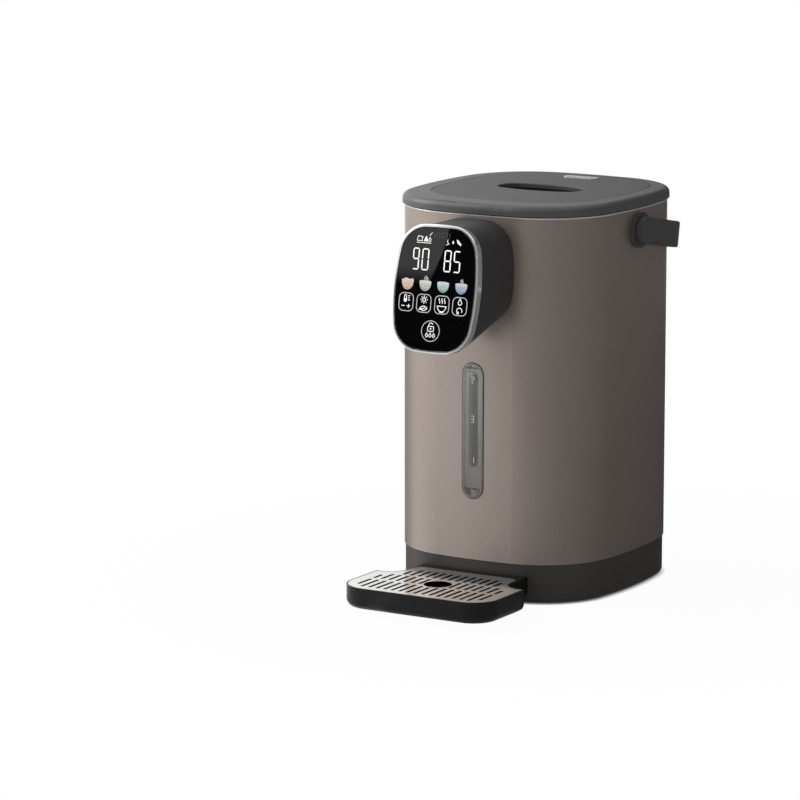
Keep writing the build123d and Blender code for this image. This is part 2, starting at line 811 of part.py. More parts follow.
with BuildPart() as pump_screws:
    with Locations(*[Location((x, y, casing_lid_top), (180, 0, 0)) for x, y in casing_ears]):
        screw(casing_lid + screw_bite - slip_gap)

rotor_low = chamber_floor + rotor_rest_gap
rotor_high = casing_top - rotor_top_gap

with BuildPart() as pump_rotor:
    drum(0, pump_y, rotor_radius, rotor_low, rotor_low + rotor_disc)
    drum(0, pump_y, rotor_hub_radius, rotor_low, rotor_high)
    with Locations((0, pump_y, rotor_low + rotor_disc)):
        with PolarLocations((rotor_blade_root + rotor_radius) / 2, rotor_blade_count):
            Box(rotor_radius - rotor_blade_root, rotor_blade, rotor_high - rotor_low - rotor_disc,
                align=from_below)
    drum(0, pump_y, pin_radius + pin_gap, rotor_low, rotor_high, Mode.SUBTRACT)

# Tee, hoses, level tube and riser
with BuildPart() as outlet_tee:
    drum(0, pump_y, tee_radius, tee_low, tee_high)
    forward_rod(0, branch_z, tube_radius, pump_y, pump_y - branch_reach)
    drum(0, pump_y, nipple_radius + hose_gap, tee_low, tee_high, Mode.SUBTRACT)
    forward_rod(0, branch_z, tube_bore, pump_y, pump_y - branch_reach, Mode.SUBTRACT)

with BuildPart() as level_hose:
    hose([(0, pump_y - level_hose_cover, branch_z), (0, level_y, branch_z),
          (0, level_y, level_tube_low + level_overlap)], hose_bend, hose_radius, hose_bore)

with BuildPart() as level_tube:
    drum(0, level_y, tube_radius, level_tube_low, level_tube_high)
    drum(0, level_y, tube_bore, level_tube_low, level_tube_high, Mode.SUBTRACT)

with BuildPart() as vent_hose:
    hose([(0, level_y, level_tube_high - level_overlap), (0, level_y, vent_nipple_z),
          (0, pot_front_y - hose_end_gap, vent_nipple_z)], hose_bend, hose_radius, hose_bore)

with BuildPart() as level_holder:
    slab(body_outline(-window_depth - window_gap), holder_low, holder_high)
    block((-holder_half_width, holder_half_width),
          (-body_half_depth, -body_half_depth + window_depth + holder_depth),
          (holder_low, holder_high), Mode.INTERSECT)
    drum(0, level_y, tube_radius + slip_gap, holder_low, holder_high, Mode.SUBTRACT)
    capsule(channel_low, channel_high, channel_width / 2, level_y, -body_half_depth, Mode.SUBTRACT)

with BuildPart() as window_lens:
    slab(body_outline(window_proud), window_low, window_high)
    slab(body_outline(0), window_low, window_high, Mode.SUBTRACT)
    capsule(window_low, window_high, window_half_width, level_y, -body_half_depth - cut_past,
            Mode.INTERSECT)

with BuildPart() as window_boss:
    slab(body_outline(0), window_low, window_high)
    slab(body_outline(-window_depth), window_low, window_high, Mode.SUBTRACT)
    capsule(window_low + window_flange, window_high - window_flange, window_slot,
            level_y, -body_half_depth - cut_past, Mode.INTERSECT)

with window_lens:
    add(window_boss.part)

with BuildPart() as riser_tube:
    hose([(pump_outlet_x, pump_y - casing_radius + casing_wall, pump_outlet_z),
          (pump_outlet_x, riser_y, pump_outlet_z), (pump_outlet_x, riser_y, riser_turn_z),
          (0, spout_y, riser_turn_z), (0, spout_y, spout_flange_z + spout_flange_thickness + slip_gap)],
         [riser_first_bend, hose_bend, hose_bend], riser_radius, riser_bore)

with BuildPart() as spout_nozzle:
    drum(0, spout_y, spout_radius, spout_tip_z, spout_flange_z)
    chamfer(faces().sort_by(Axis.Z)[0].edges(), spout_radius - spout_tip_radius)
    drum(0, spout_y, spout_flange_radius, spout_flange_z, spout_flange_z + spout_flange_thickness)
    drum(0, spout_y, pump_outlet_radius, spout_flange_z, spout_top_z)
    drum(0, spout_y, pump_outlet_bore, spout_tip_z, spout_top_z, Mode.SUBTRACT)

# Control head: housing that tapers from the bezel to the body
with BuildPart() as body_front:
    slab(body_outline(neck_gap), base_top, rim_top)

with BuildPart() as head_cavity:
    with BuildSketch(bezel_back):
        add(panel_outline(housing_grow - housing_wall))
    with BuildSketch(neck):
        add(neck_outline(-housing_wall))
    loft()
    slab(body_outline(neck_gap + housing_back), base_top, rim_top, Mode.SUBTRACT)
    for x in (-head_screw_x, head_screw_x):
        for z in (head_screw_low, head_screw_high):
            forward_rod(x, z, head_boss_radius, level_y, -body_half_depth - head_boss_length,
                        Mode.SUBTRACT)
    drum(0, spout_y, spout_flange_radius + spout_pad_margin, spout_tip_z, spout_flange_z, Mode.SUBTRACT)

with BuildPart() as head_housing:
    with BuildSketch(bezel_back):
        add(panel_outline(housing_grow))
    with BuildSketch(neck):
        add(neck_outline())
    loft()
    add(body_front.part, mode=Mode.SUBTRACT)
    add(head_cavity.part, mode=Mode.SUBTRACT)
    with BuildSketch(Plane.XZ.offset(-level_y)):
        with Locations((0, (duct_low + duct_high) / 2)):
            RectangleRounded(duct_width, duct_high - duct_low, duct_corner)
    extrude(amount=body_half_depth + level_y + 2 * housing_back, mode=Mode.SUBTRACT)
    for x in (-head_screw_x, head_screw_x):
        for z in (head_screw_low, head_screw_high):
            forward_rod(x, z, screw_radius + screw_gap, level_y,
                        -body_half_depth - head_boss_length + head_boss_floor, Mode.SUBTRACT)
    drum(0, spout_y, spout_radius + slip_gap, spout_tip_z, spout_flange_z, Mode.SUBTRACT)

corner_x = panel_half_width - panel_corner_radius + (panel_corner_radius - bezel_boss_inset) * sqrt(0.5)
corner_y = panel_half_height - panel_corner_radius + (panel_corner_radius - bezel_boss_inset) * sqrt(0.5)
bezel_bosses = mirrored((corner_x, corner_y))
boss_tip = bezel_proud - bezel_depth - bezel_boss_height

with BuildPart() as head_bezel:
    with BuildSketch(bezel_back):
        add(panel_outline(bezel_width))
    extrude(amount=bezel_depth)
    fillet(faces().sort_by(Axis.Y)[0].edges(), bezel_edge_radius)
    with BuildSketch(panel.offset(-glass_thickness)):
        add(panel_outline(glass_gap))
    extrude(amount=glass_thickness + bezel_proud, mode=Mode.SUBTRACT)
    with BuildSketch(bezel_back):
        add(panel_outline(-bezel_ledge))
    extrude(amount=bezel_depth, mode=Mode.SUBTRACT)
    with BuildSketch(panel.offset(boss_tip)):
        with Locations(*bezel_bosses):
            Circle(bezel_boss_radius)
            Circle(small_screw_radius + screw_gap, mode=Mode.SUBTRACT)
    extrude(amount=bezel_boss_height)

with BuildPart() as display_glass:
    with BuildSketch(panel.offset(-glass_thickness)):
        add(panel_outline())
    extrude(amount=glass_thickness)

with BuildPart() as display_board:
    with BuildSketch(panel.offset(boss_tip - board_thickness)):
        add(panel_outline(-board_inset))
        with Locations(*bezel_bosses):
            Circle(small_screw_radius + screw_gap, mode=Mode.SUBTRACT)
    extrude(amount=board_thickness)
    with BuildSketch(panel.offset(boss_tip)):
        with Locations((-digit_block_x, digit_block_y), (digit_block_x, digit_block_y)):
            Rectangle(*digit_block)
    extrude(amount=-boss_tip - glass_thickness - digit_block_gap)

with BuildPart() as display_screws:
    with BuildSketch(panel.offset(boss_tip - board_thickness)):
        with Locations(*bezel_bosses):
            Circle(small_screw_radius)
    extrude(amount=board_thickness + bezel_boss_height)
    with BuildSketch(panel.offset(boss_tip - board_thickness)):
        with Locations(*bezel_bosses):
            Circle(small_screw_head_radius)
    extrude(amount=-small_screw_head_height)

with BuildPart() as head_bracket:
    slab(body_outline(-sleeve_wall - window_gap), bracket_low, bracket_high)
    slab(body_outline(-sleeve_wall - window_gap - bracket_thickness), bracket_low, bracket_high,
         Mode.SUBTRACT)
    block((-bracket_half_width, bracket_half_width), (-body_half_depth, 0), (bracket_low, bracket_high),
          Mode.INTERSECT)
    with BuildSketch(Plane.XZ):
        with Locations((0, (duct_low + duct_high) / 2)):
            RectangleRounded(duct_width, duct_high - duct_low, duct_corner)
    extrude(amount=body_half_depth, mode=Mode.SUBTRACT)
    block((-hose_radius - bracket_notch_gap, hose_radius + bracket_notch_gap), (-body_half_depth, 0),
          (bracket_low, duct_low + duct_corner), Mode.SUBTRACT)
    for x in (-head_screw_x, head_screw_x):
        for z in (head_screw_low, head_screw_high):
            forward_rod(x, z, screw_radius + screw_gap, 0, -body_half_depth, Mode.SUBTRACT)

bracket_back_y = -body_half_depth + sleeve_wall + window_gap + bracket_thickness
head_screw_seat = bracket_back_y + (head_screw_x + screw_head_radius) ** 2 / (2 * body_face_radius)

with BuildPart() as head_screws:
    with Locations(*[Location((x, head_screw_seat, z), along_minus_y) for x in (-head_screw_x, head_screw_x)
                     for z in (head_screw_low, head_screw_high)]):
        screw(head_screw_seat + body_half_depth + screw_bite)

# Carrying handle and its two pivots
with BuildPart() as handle_bail:
    with BuildSketch(handle_plane.offset(-handle_height / 2)):
        add(handle_outline())
        add(handle_outline(-handle_thickness), mode=Mode.SUBTRACT)
        with Locations((0, -handle_reach / 2)):
            Rectangle(2 * handle_reach, handle_reach, mode=Mode.SUBTRACT)
    extrude(amount=handle_height)
    fillet(edges().filter_by(GeomType.CIRCLE), handle_edge_radius)
    for side in (-1, 1):
        turn = along_x if side > 0 else along_minus_x
        with Locations(Location((side * handle_inner_x, pivot_y, pivot_z), turn)):
            Cylinder(handle_end_radius, handle_thickness, align=from_below)
        with Locations(Location((side * pivot_face_x, pivot_y, pivot_z), turn)):
            Cylinder(pivot_pin_radius + pivot_pin_gap, pivot_pin_length + pivot_pin_end_gap,
                     align=from_below, mode=Mode.SUBTRACT)

pivots = {}
for name, side in (("handle_pivot_left", -1), ("handle_pivot_right", 1)):
    turn = along_x if side > 0 else along_minus_x
    with BuildPart() as pivot:
        with Locations(Location((side * (body_half_width - pivot_root), pivot_y, pivot_z), turn)):
            Cylinder(pivot_radius, pivot_face_x - body_half_width + pivot_root, align=from_below)
        slab(body_outline(neck_gap), base_top, rim_top, Mode.SUBTRACT)
        with Locations(Location((side * pivot_face_x, pivot_y, pivot_z), turn)):
            Cylinder(pivot_pin_radius, pivot_pin_length, align=from_below)
        with Locations(Location((side * body_half_width, pivot_y, pivot_z), turn)):
            Cylinder(screw_radius + screw_gap, pivot_face_x - body_half_width, align=from_below,
                     mode=Mode.SUBTRACT)
    pivots[name] = pivot

lug_inside_x = body_half_width + lug_outer - seat_gap

with BuildPart() as pivot_screws:
    with Locations(Location((lug_inside_x, pivot_y, pivot_z), along_x),
                   Location((-lug_inside_x, pivot_y, pivot_z), along_minus_x)):
        screw(pivot_face_x - lug_inside_x - slip_gap)


# Drip tray, seen from above: wings, hollow shoulders and a neck that meets the base
def tray_outline(inset=0.0, rear_y=None, rear_radius=0.0):
    half_width = tray_half_width - inset
    lip_y = tray_front_y + inset
    wing_y = tray_wing_y - inset
    neck_x = tray_neck_half_width - inset
    shoulder = tray_shoulder_radius + inset
    back_y = rear_y if rear_y is not None else -body_half_depth / 2
    wing_x = neck_x + shoulder
    with BuildSketch(mode=Mode.PRIVATE) as outline:
        with BuildLine():
            Polyline((-neck_x, wing_y + shoulder), (-neck_x, back_y), (neck_x, back_y),
                     (neck_x, wing_y + shoulder))
            RadiusArc((neck_x, wing_y + shoulder), (wing_x, wing_y), -shoulder)
            Polyline((wing_x, wing_y), (half_width, wing_y), (half_width, lip_y),
                     (-half_width, lip_y), (-half_width, wing_y), (-wing_x, wing_y))
            RadiusArc((-wing_x, wing_y), (-neck_x, wing_y + shoulder), -shoulder)
        make_face()
        fillet(outline.vertices().group_by(Axis.Y)[0], tray_front_radius - inset)
        if rear_radius:
            fillet(outline.vertices().group_by(Axis.Y)[-1], rear_radius)
    return outline.sketch


with BuildPart() as drip_tray:
    slab(tray_outline(), tray_low, tray_top)
    fillet(faces().sort_by(Axis.Z)[0].edges(), tray_edge_radius)
    slab(body_outline(tray_gap - base_inset), 0, base_top, Mode.SUBTRACT)
    slab(tray_outline(tray_rim, grille_rear_y + grille_gap, grille_rear_radius + grille_gap),
         grille_low, tray_top, Mode.SUBTRACT)
    slab(tray_outline(tray_wall + tray_rim, basin_rear_y), tray_low + tray_floor, tray_top, Mode.SUBTRACT)
    for x in (-prong_x, prong_x):
        block((x - prong_width / 2, x + prong_width / 2),
              (-body_half_depth - tray_wall, -body_half_depth + prong_reach - prong_gap),
              (prong_low, prong_high))

with BuildPart() as drip_grille:
    slab(tray_outline(tray_rim + grille_gap, grille_rear_y, grille_rear_radius), grille_low, tray_top)
    for row in slot_rows:
        for step in range(-row["half_count"], row["half_count"] + 1):
            slot_x = step * slot_pitch
            at_edge = abs(step) == row["half_count"]
            front = front_y - row["front"] + (row["front_cut"] if at_edge else 0)
            rear = front_y - row["rear"] - (row["rear_cut"] if at_edge else 0)
            reach = sqrt(max(0.0, (drain_radius + drain_margin) ** 2 - slot_x**2))
            if reach and front < drain_y - reach < rear:
                rear = drain_y - reach
            elif reach and front < drain_y < rear:
                continue
            with BuildSketch(Plane.XY.offset(grille_low)):
                with Locations((slot_x, (front + rear) / 2)):
                    SlotOverall(rear - front, slot_width, rotation=90)
            extrude(amount=grille_thickness, mode=Mode.SUBTRACT)
    drum(0, drain_y, drain_radius, grille_low, tray_top, Mode.SUBTRACT)

# Mains inlet, blades, control board and leads
with BuildPart() as power_inlet:
    block((-inlet_body_width / 2, inlet_body_width / 2), (base_rear - inlet_body_depth, base_rear),
          (inlet_z - inlet_body_height / 2, inlet_z + inlet_body_height / 2))
    block((-inlet_flange_width / 2, inlet_flange_width / 2),
          (base_rear, base_rear + inlet_flange_thickness),
          (inlet_z - inlet_flange_height / 2, inlet_z + inlet_flange_height / 2))
    with BuildSketch(Plane.XZ.offset(-base_rear - inlet_flange_thickness)) as socket:
        with Locations((0, inlet_z)):
            Rectangle(socket_width, socket_height)
        chamfer(socket.vertices().group_by(Axis.Y)[-1], socket_chamfer)
    extrude(amount=socket_depth, mode=Mode.SUBTRACT)

socket_floor_y = base_rear + inlet_flange_thickness - socket_depth
blade_places = [(-blade_spacing / 2, -blade_rise / 2), (0, blade_rise), (blade_spacing / 2, -blade_rise / 2)]

with BuildPart() as inlet_blades:
    for x, rise in blade_places:
        block((x - blade_width / 2, x + blade_width / 2), (socket_floor_y, socket_floor_y + blade_length),
              (inlet_z + rise - blade_height / 2, inlet_z + rise + blade_height / 2))

with BuildPart() as control_board:
    block((-board_half_width, board_half_width), (board_front_y, board_rear_y), (board_low, board_top))
    for x in (board_post_inset - board_half_width, board_half_width - board_post_inset):
        for y in (board_front_y + board_post_inset, board_rear_y - board_post_inset):
            drum(x, y, screw_radius + screw_gap, board_low, board_top, Mode.SUBTRACT)
    for item in board_blocks:
        block(item["x"], tuple(board_front_y + y for y in item["y"]),
              (board_top, board_top + item["height"]))
    for item in board_cans:
        drum(item["x"], board_front_y + item["y"], item["radius"], board_top, board_top + item["height"])

with BuildPart() as board_screws:
    with Locations(*[Location((x, y, board_top), (180, 0, 0))
                     for x in (board_post_inset - board_half_width, board_half_width - board_post_inset)
                     for y in (board_front_y + board_post_inset, board_rear_y - board_post_inset)]):
        screw(board_thickness + board_post_height - slip_gap)

inlet_back_y = base_rear - inlet_body_depth
lead_drop_y = board_rear_y - mains_lead_drop
lead_z = inlet_z + mains_lead_rise

with BuildPart() as mains_leads:
    for x in (-blade_spacing / 2, blade_spacing / 2):
        hose([(x, inlet_back_y, lead_z), (x, lead_drop_y, lead_z), (x, lead_drop_y, board_top)],
             lead_bend, lead_radius)

with BuildPart() as heater_leads:
    for side in (-1, 1):
        start_x = side * heater_lead_x
        end_x = side * heater_terminal_x
        hose([(start_x, heater_terminal_y, board_top),
              (start_x, heater_terminal_y, board_top + heater_lead_turn[0]),
              (end_x, heater_terminal_y, board_top + heater_lead_turn[1]),
              (end_x, heater_terminal_y, heater_low - heater_terminal_length)], lead_bend, lead_radius)

motor_side_y = pump_y + motor_radius + slip_gap
pump_lead_z = motor_top - pump_lead_depth
pump_lead_y = board_front_y + pump_lead_inset

with BuildPart() as pump_leads:
    for x in (-pump_lead_x, pump_lead_x):
        hose([(x, motor_side_y, pump_lead_z), (x, pump_lead_y, pump_lead_z), (x, pump_lead_y, board_top)],
             lead_bend, lead_radius)

board_back = panel.offset(boss_tip - board_thickness)
cable_end = board_back.from_local_coords((cable_end_x, cable_end_y, 0))
cable_turn = board_back.from_local_coords((cable_end_x, cable_end_y, -cable_end_run))
cable_run_z = board_top + cable_rise

with BuildPart() as display_cable:
    hose([(cable_start_x, cable_start_y, board_top), (cable_start_x, cable_start_y, cable_run_z),
          (cable_x, cable_y, cable_run_z), (cable_x, cable_y, cable_turn.Z),
          cable_turn, cable_end], hose_bend, cable_radius)

# Lid: moulded shell with finger recess, base, seal, steel liner and vent plate
with BuildPart() as lid_shell:
    slab(lid_outline(), lid_base_top, rim_top, centre_y=lid_centre_y)
    fillet(faces().sort_by(Axis.Z)[-1].edges(), lid_edge_radius)
    slab(lid_outline(-lid_wall), lid_base_top, rim_top - lid_plate, Mode.SUBTRACT, lid_centre_y)
    slab(recess_outline(recess_undercut + recess_wall), recess_floor - recess_wall, rim_top - lid_plate,
         centre_y=lid_centre_y)
    slab(recess_outline(recess_undercut), recess_floor, rim_top - recess_lip, Mode.SUBTRACT, lid_centre_y)
    slab(recess_outline(), rim_top - recess_lip, rim_top, Mode.SUBTRACT, lid_centre_y)
    fillet(faces().sort_by(Axis.Z)[-1].inner_wires()[0].edges(), recess_edge_radius)
    for x, y in mirrored(lid_screw_places):
        drum(x, lid_centre_y + y, boss_radius, lid_base_top, rim_top - lid_plate)
        drum(x, lid_centre_y + y, screw_radius + screw_gap, lid_base_top,
             lid_base_top + screw_bite, Mode.SUBTRACT)
    drum(0, vent_plate_y, vent_stem_radius + slip_gap, lid_base_top, rim_top, Mode.SUBTRACT)

with BuildPart() as lid_base:
    slab(lid_outline(-slip_gap), lid_base_low, lid_base_top, centre_y=lid_centre_y)
    for x, y in mirrored(lid_screw_places):
        drum(x, lid_centre_y + y, screw_radius + screw_gap, lid_base_low, lid_base_top, Mode.SUBTRACT)

with BuildPart() as lid_screws:
    with Locations(*[(x, lid_centre_y + y, lid_base_low) for x, y in mirrored(lid_screw_places)]):
        screw(lid_base_thickness + screw_bite - slip_gap)

with BuildPart() as lid_gasket:
    drum(0, lid_centre_y, lid_seal_outer, seal_low, lid_base_low)
    drum(0, lid_centre_y, lid_seal_inner, seal_low, lid_base_low, Mode.SUBTRACT)

with BuildPart() as lid_liner:
    drum(0, lid_centre_y, lid_liner_radius, lid_base_low - lid_liner_depth, lid_base_low)
    drum(0, lid_centre_y, lid_seal_inner - slip_gap, lid_base_low - lid_liner_sheet, lid_base_low)
    drum(0, lid_centre_y, lid_liner_radius - lid_liner_sheet,
         lid_base_low - lid_liner_depth + lid_liner_sheet, lid_base_low, Mode.SUBTRACT)

with BuildPart() as steam_vent:
    with BuildSketch(Plane((0, vent_plate_y, rim_top))):
        SlotOverall(vent_plate_length, vent_plate_width)
    extrude(amount=vent_plate_proud)
    drum(0, vent_plate_y, vent_stem_radius, lid_base_top, rim_top)
    with Locations((0, vent_plate_y, rim_top)):
        with GridLocations(vent_hole_pitch, 0, vent_hole_count, 1):
            Cylinder(vent_hole_radius, vent_plate_proud, align=from_below, mode=Mode.SUBTRACT)

pieces = {
    "outer_shell": outer_shell,
    "base_housing": base_housing,
    "base_cover": base_cover,
    "feet": feet,
    "base_screws": base_screws,
    "top_ring": top_ring,
    "ring_screws": ring_screws,
    "pot_support_ring": pot_support_ring,
    "pot_gasket": pot_gasket,
    "inner_pot": inner_pot,
    "insulation_jacket": insulation_jacket,
    "heater_plate": heater_plate,
    "thermostat": thermostat,
    "pump_motor": pump_motor,
    "pump_body": pump_body,
    "pump_cover": pump_cover,
    "pump_rotor": pump_rotor,
    "pump_screws": pump_screws,
    "outlet_tee": outlet_tee,
    "level_hose": level_hose,
    "level_tube": level_tube,
    "vent_hose": vent_hose,
    "level_holder": level_holder,
    "window_lens": window_lens,
    "riser_tube": riser_tube,
    "spout_nozzle": spout_nozzle,
    "head_housing": head_housing,
    "head_bezel": head_bezel,
    "display_glass": display_glass,
    "display_board": display_board,
    "display_screws": display_screws,
    "head_bracket": head_bracket,
    "head_screws": head_screws,
    "handle_bail": handle_bail,
    "handle_pivot_left": pivots["handle_pivot_left"],
    "handle_pivot_right": pivots["handle_pivot_right"],
    "pivot_screws": pivot_screws,
    "drip_tray": drip_tray,
    "drip_grille": drip_grille,
    "power_inlet": power_inlet,
    "inlet_blades": inlet_blades,
    "control_board": control_board,
    "board_screws": board_screws,
    "mains_leads": mains_leads,
    "heater_leads": heater_leads,
    "pump_leads": pump_leads,
    "display_cable": display_cable,
    "lid_shell": lid_shell,
    "lid_base": lid_base,
    "lid_screws": lid_screws,
    "lid_gasket": lid_gasket,
    "lid_liner": lid_liner,
    "steam_vent": steam_vent,
}

os.makedirs("parts", exist_ok=True)
for name, piece in pieces.items():
    piece.part.label = name
    export_step(piece.part, f"parts/{name}.step")
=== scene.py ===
import json
import math
import bpy
import numpy as np
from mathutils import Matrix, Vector


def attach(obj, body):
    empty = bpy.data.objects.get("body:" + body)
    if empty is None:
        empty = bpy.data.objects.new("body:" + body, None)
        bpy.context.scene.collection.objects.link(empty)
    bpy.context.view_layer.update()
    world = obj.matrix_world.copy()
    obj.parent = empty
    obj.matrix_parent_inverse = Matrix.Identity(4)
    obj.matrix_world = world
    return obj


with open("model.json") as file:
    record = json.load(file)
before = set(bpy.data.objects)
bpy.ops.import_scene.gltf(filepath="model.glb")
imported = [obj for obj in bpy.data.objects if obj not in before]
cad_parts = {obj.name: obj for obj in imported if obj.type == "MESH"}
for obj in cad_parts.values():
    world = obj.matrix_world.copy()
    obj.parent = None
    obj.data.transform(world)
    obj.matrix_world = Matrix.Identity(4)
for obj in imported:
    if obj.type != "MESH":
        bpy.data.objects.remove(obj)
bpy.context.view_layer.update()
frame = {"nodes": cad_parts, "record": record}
nodes = frame["nodes"]
print("frame loaded:", len(nodes), "nodes")

millimetre = 0.001
perMillimetre = 1000.0  # scale of a texture that repeats every millimetre


def linearColour(hexText):
    # each sRGB channel goes through the standard curve to linear light
    channels = [int(hexText[i:i + 2], 16) / 255 for i in (1, 3, 5)]
    return tuple(c / 12.92 if c <= 0.04045 else ((c + 0.055) / 1.055) ** 2.4 for c in channels) + (1.0,)


def addNode(tree, kind, inputs=None, **settings):
    # one node with its settings; each input takes a value, or another node's output to link
    node = tree.nodes.new(kind)
    for name, value in settings.items():
        setattr(node, name, value)
    for name, value in (inputs or {}).items():
        if isinstance(value, bpy.types.NodeSocket):
            tree.links.new(value, node.inputs[name])
        else:
            node.inputs[name].default_value = value
    return node


def startMaterial(name, **sockets):
    # a Principled material whose even values sit on the shader's own sockets
    material = bpy.data.materials.new(name)
    material.use_nodes = True
    tree = material.node_tree
    shader = tree.nodes["Principled BSDF"]
    for socket, value in sockets.items():
        shader.inputs[socket.replace("_", " ")].default_value = value
    place = addNode(tree, "ShaderNodeTexCoord").outputs["Object"]
    return material, tree, shader, place


def dressSurface(tree, shader, look, tonePattern, finePattern, relief=None):
    # the first pattern drifts between the two tones, the fine one between the two roughnesses,
    # and where relief gives a strength and a depth in mm, the fine one also raises the surface
    tone = addNode(tree, "ShaderNodeMix", {0: tonePattern, 6: linearColour(look["tones"][0]),
                                           7: linearColour(look["tones"][1])}, data_type="RGBA")
    sheen = addNode(tree, "ShaderNodeMapRange", {
        "Value": finePattern, "From Min": 0.3, "From Max": 0.7,  # a noise hardly leaves this range
        "To Min": look["rough"][0], "To Max": look["rough"][1]})
    tree.links.new(tone.outputs[2], shader.inputs["Base Color"])
    tree.links.new(sheen.outputs["Result"], shader.inputs["Roughness"])
    if relief:
        bump = addNode(tree, "ShaderNodeBump", {"Height": finePattern, "Strength": relief[0],
                                                "Distance": relief[1] * millimetre})
        tree.links.new(bump.outputs["Normal"], shader.inputs["Normal"])
    return tone.outputs[2]


# Moulded, cast, felted and rubber finishes share one recipe.
# tones: two close colours that drift into each other over cloud millimetres
# rough: lowest and highest roughness; grain and depth: size and height of the grain in mm

mouldedLooks = {
    # half-gloss ABS from a finely grained mould: near black, and it mirrors the grille faintly
    "base_abs": dict(tones=("#524F4D", "#4A4745"), cloud=40, rough=(0.28, 0.36), grain=0.8,
                     depth=0.006, shine=0.25),
    # satin ABS of the rim
    "rim_abs": dict(tones=("#626060", "#5A5858"), cloud=35, rough=(0.36, 0.46), grain=0.5, depth=0.012),
    # the lid's ABS has a slightly coarser grain, so it glances pale at a low angle
    "lid_abs": dict(tones=("#535355", "#4D4D4F"), cloud=45, rough=(0.44, 0.54), grain=0.6, depth=0.016),
    # polypropylene under the lid, moulded without a top coat: a little paler and duller
    "lid_base_plastic": dict(tones=("#5A5A5A", "#525252"), cloud=30, rough=(0.45, 0.55), grain=0.5,
                             depth=0.01),
    # satin ABS of the control head and, a shade lighter, of the handle
    "head_abs": dict(tones=("#404041", "#3A3A3B"), cloud=30, rough=(0.42, 0.52), grain=0.5, depth=0.012),
    "handle_abs": dict(tones=("#555353", "#4E4C4C"), cloud=30, rough=(0.44, 0.54), grain=0.5,
                       depth=0.014),
    # gloss ABS from a polished mould, with only the plastic's slow flow marks: nozzle and tray
    "spout_abs": dict(tones=("#242424", "#202020"), cloud=25, rough=(0.16, 0.24), grain=4.0, depth=0.01),
    "tray_abs": dict(tones=("#222221", "#1C1C1B"), cloud=40, rough=(0.18, 0.30), grain=5.0, depth=0.012,
                     shine=0.25),
    # the holder behind the level window, a plain pale ABS moulding
    "window_backing": dict(tones=("#DEDCD8", "#D4D2CE"), cloud=20, rough=(0.45, 0.55), grain=0.5,
                           depth=0.01),
    # moulded black rubber: dull, with a fine dry grain
    "foot_rubber": dict(tones=("#262626", "#1F1F1F"), cloud=8, rough=(0.75, 0.88), grain=0.4, depth=0.03),
    # translucent silicone, dulled by handling
    "silicone": dict(tones=("#E2E0DA", "#D2D0C9"), cloud=15, rough=(0.45, 0.6), grain=1.5, depth=0.01),
    # brown phenolic, pressed hot: mottled over a few millimetres
    "terminal_phenolic": dict(tones=("#4A3A30", "#3F3129"), cloud=6, rough=(0.5, 0.62), grain=0.5,
                              depth=0.015),
    # off-white polypropylene of the pump, as it leaves the mould
    "pump_plastic": dict(tones=("#DEDED8", "#D2D2CC"), cloud=20, rough=(0.4, 0.5), grain=0.6, depth=0.01),
    # black glass-filled nylon: the fibres leave it a dry, close grain
    "inlet_nylon": dict(tones=("#2B2B2B", "#242424"), cloud=10, rough=(0.42, 0.52), grain=0.45,
                        depth=0.015),
    # red PVC drawn over the wires, slightly uneven
    "lead_insulation": dict(tones=("#A03A32", "#8C322B"), cloud=12, rough=(0.45, 0.55), grain=0.8,
                            depth=0.01),
    # lacquered glass-fibre board, the weave shows faintly
    "circuit_board": dict(tones=("#2C6B45", "#27603E"), cloud=10, rough=(0.28, 0.4), grain=0.7,
                          depth=0.012),
    # white needled felt
    "insulation_felt": dict(tones=("#DAD7D0", "#C6C2B9"), cloud=9, rough=(0.88, 0.97), grain=1.1,
                            depth=0.12),
}
grainStrength = 0.6  # share of the grain's full bump


def mouldedFinish(name, look):
    # a soft drift between two tones, an uneven sheen, and grain as bump
    material, tree, shader, place = startMaterial(name, IOR=1.5,
                                                  Specular_IOR_Level=look.get("shine", 0.5))
    cloud = addNode(tree, "ShaderNodeTexNoise",
                    {"Vector": place, "Scale": perMillimetre / look["cloud"], "Detail": 3.0})
    grain = addNode(tree, "ShaderNodeTexNoise",
                    {"Vector": place, "Scale": perMillimetre / look["grain"], "Detail": 2.0})
    dressSurface(tree, shader, look, cloud.outputs["Fac"], grain.outputs["Fac"],
                 (grainStrength, look["depth"]))
    return material


# Metals: the marks of rolling, drawing or polishing are stretched along one direction.
# marks: their size in mm along x, y and z; height: how high they stand, in mm

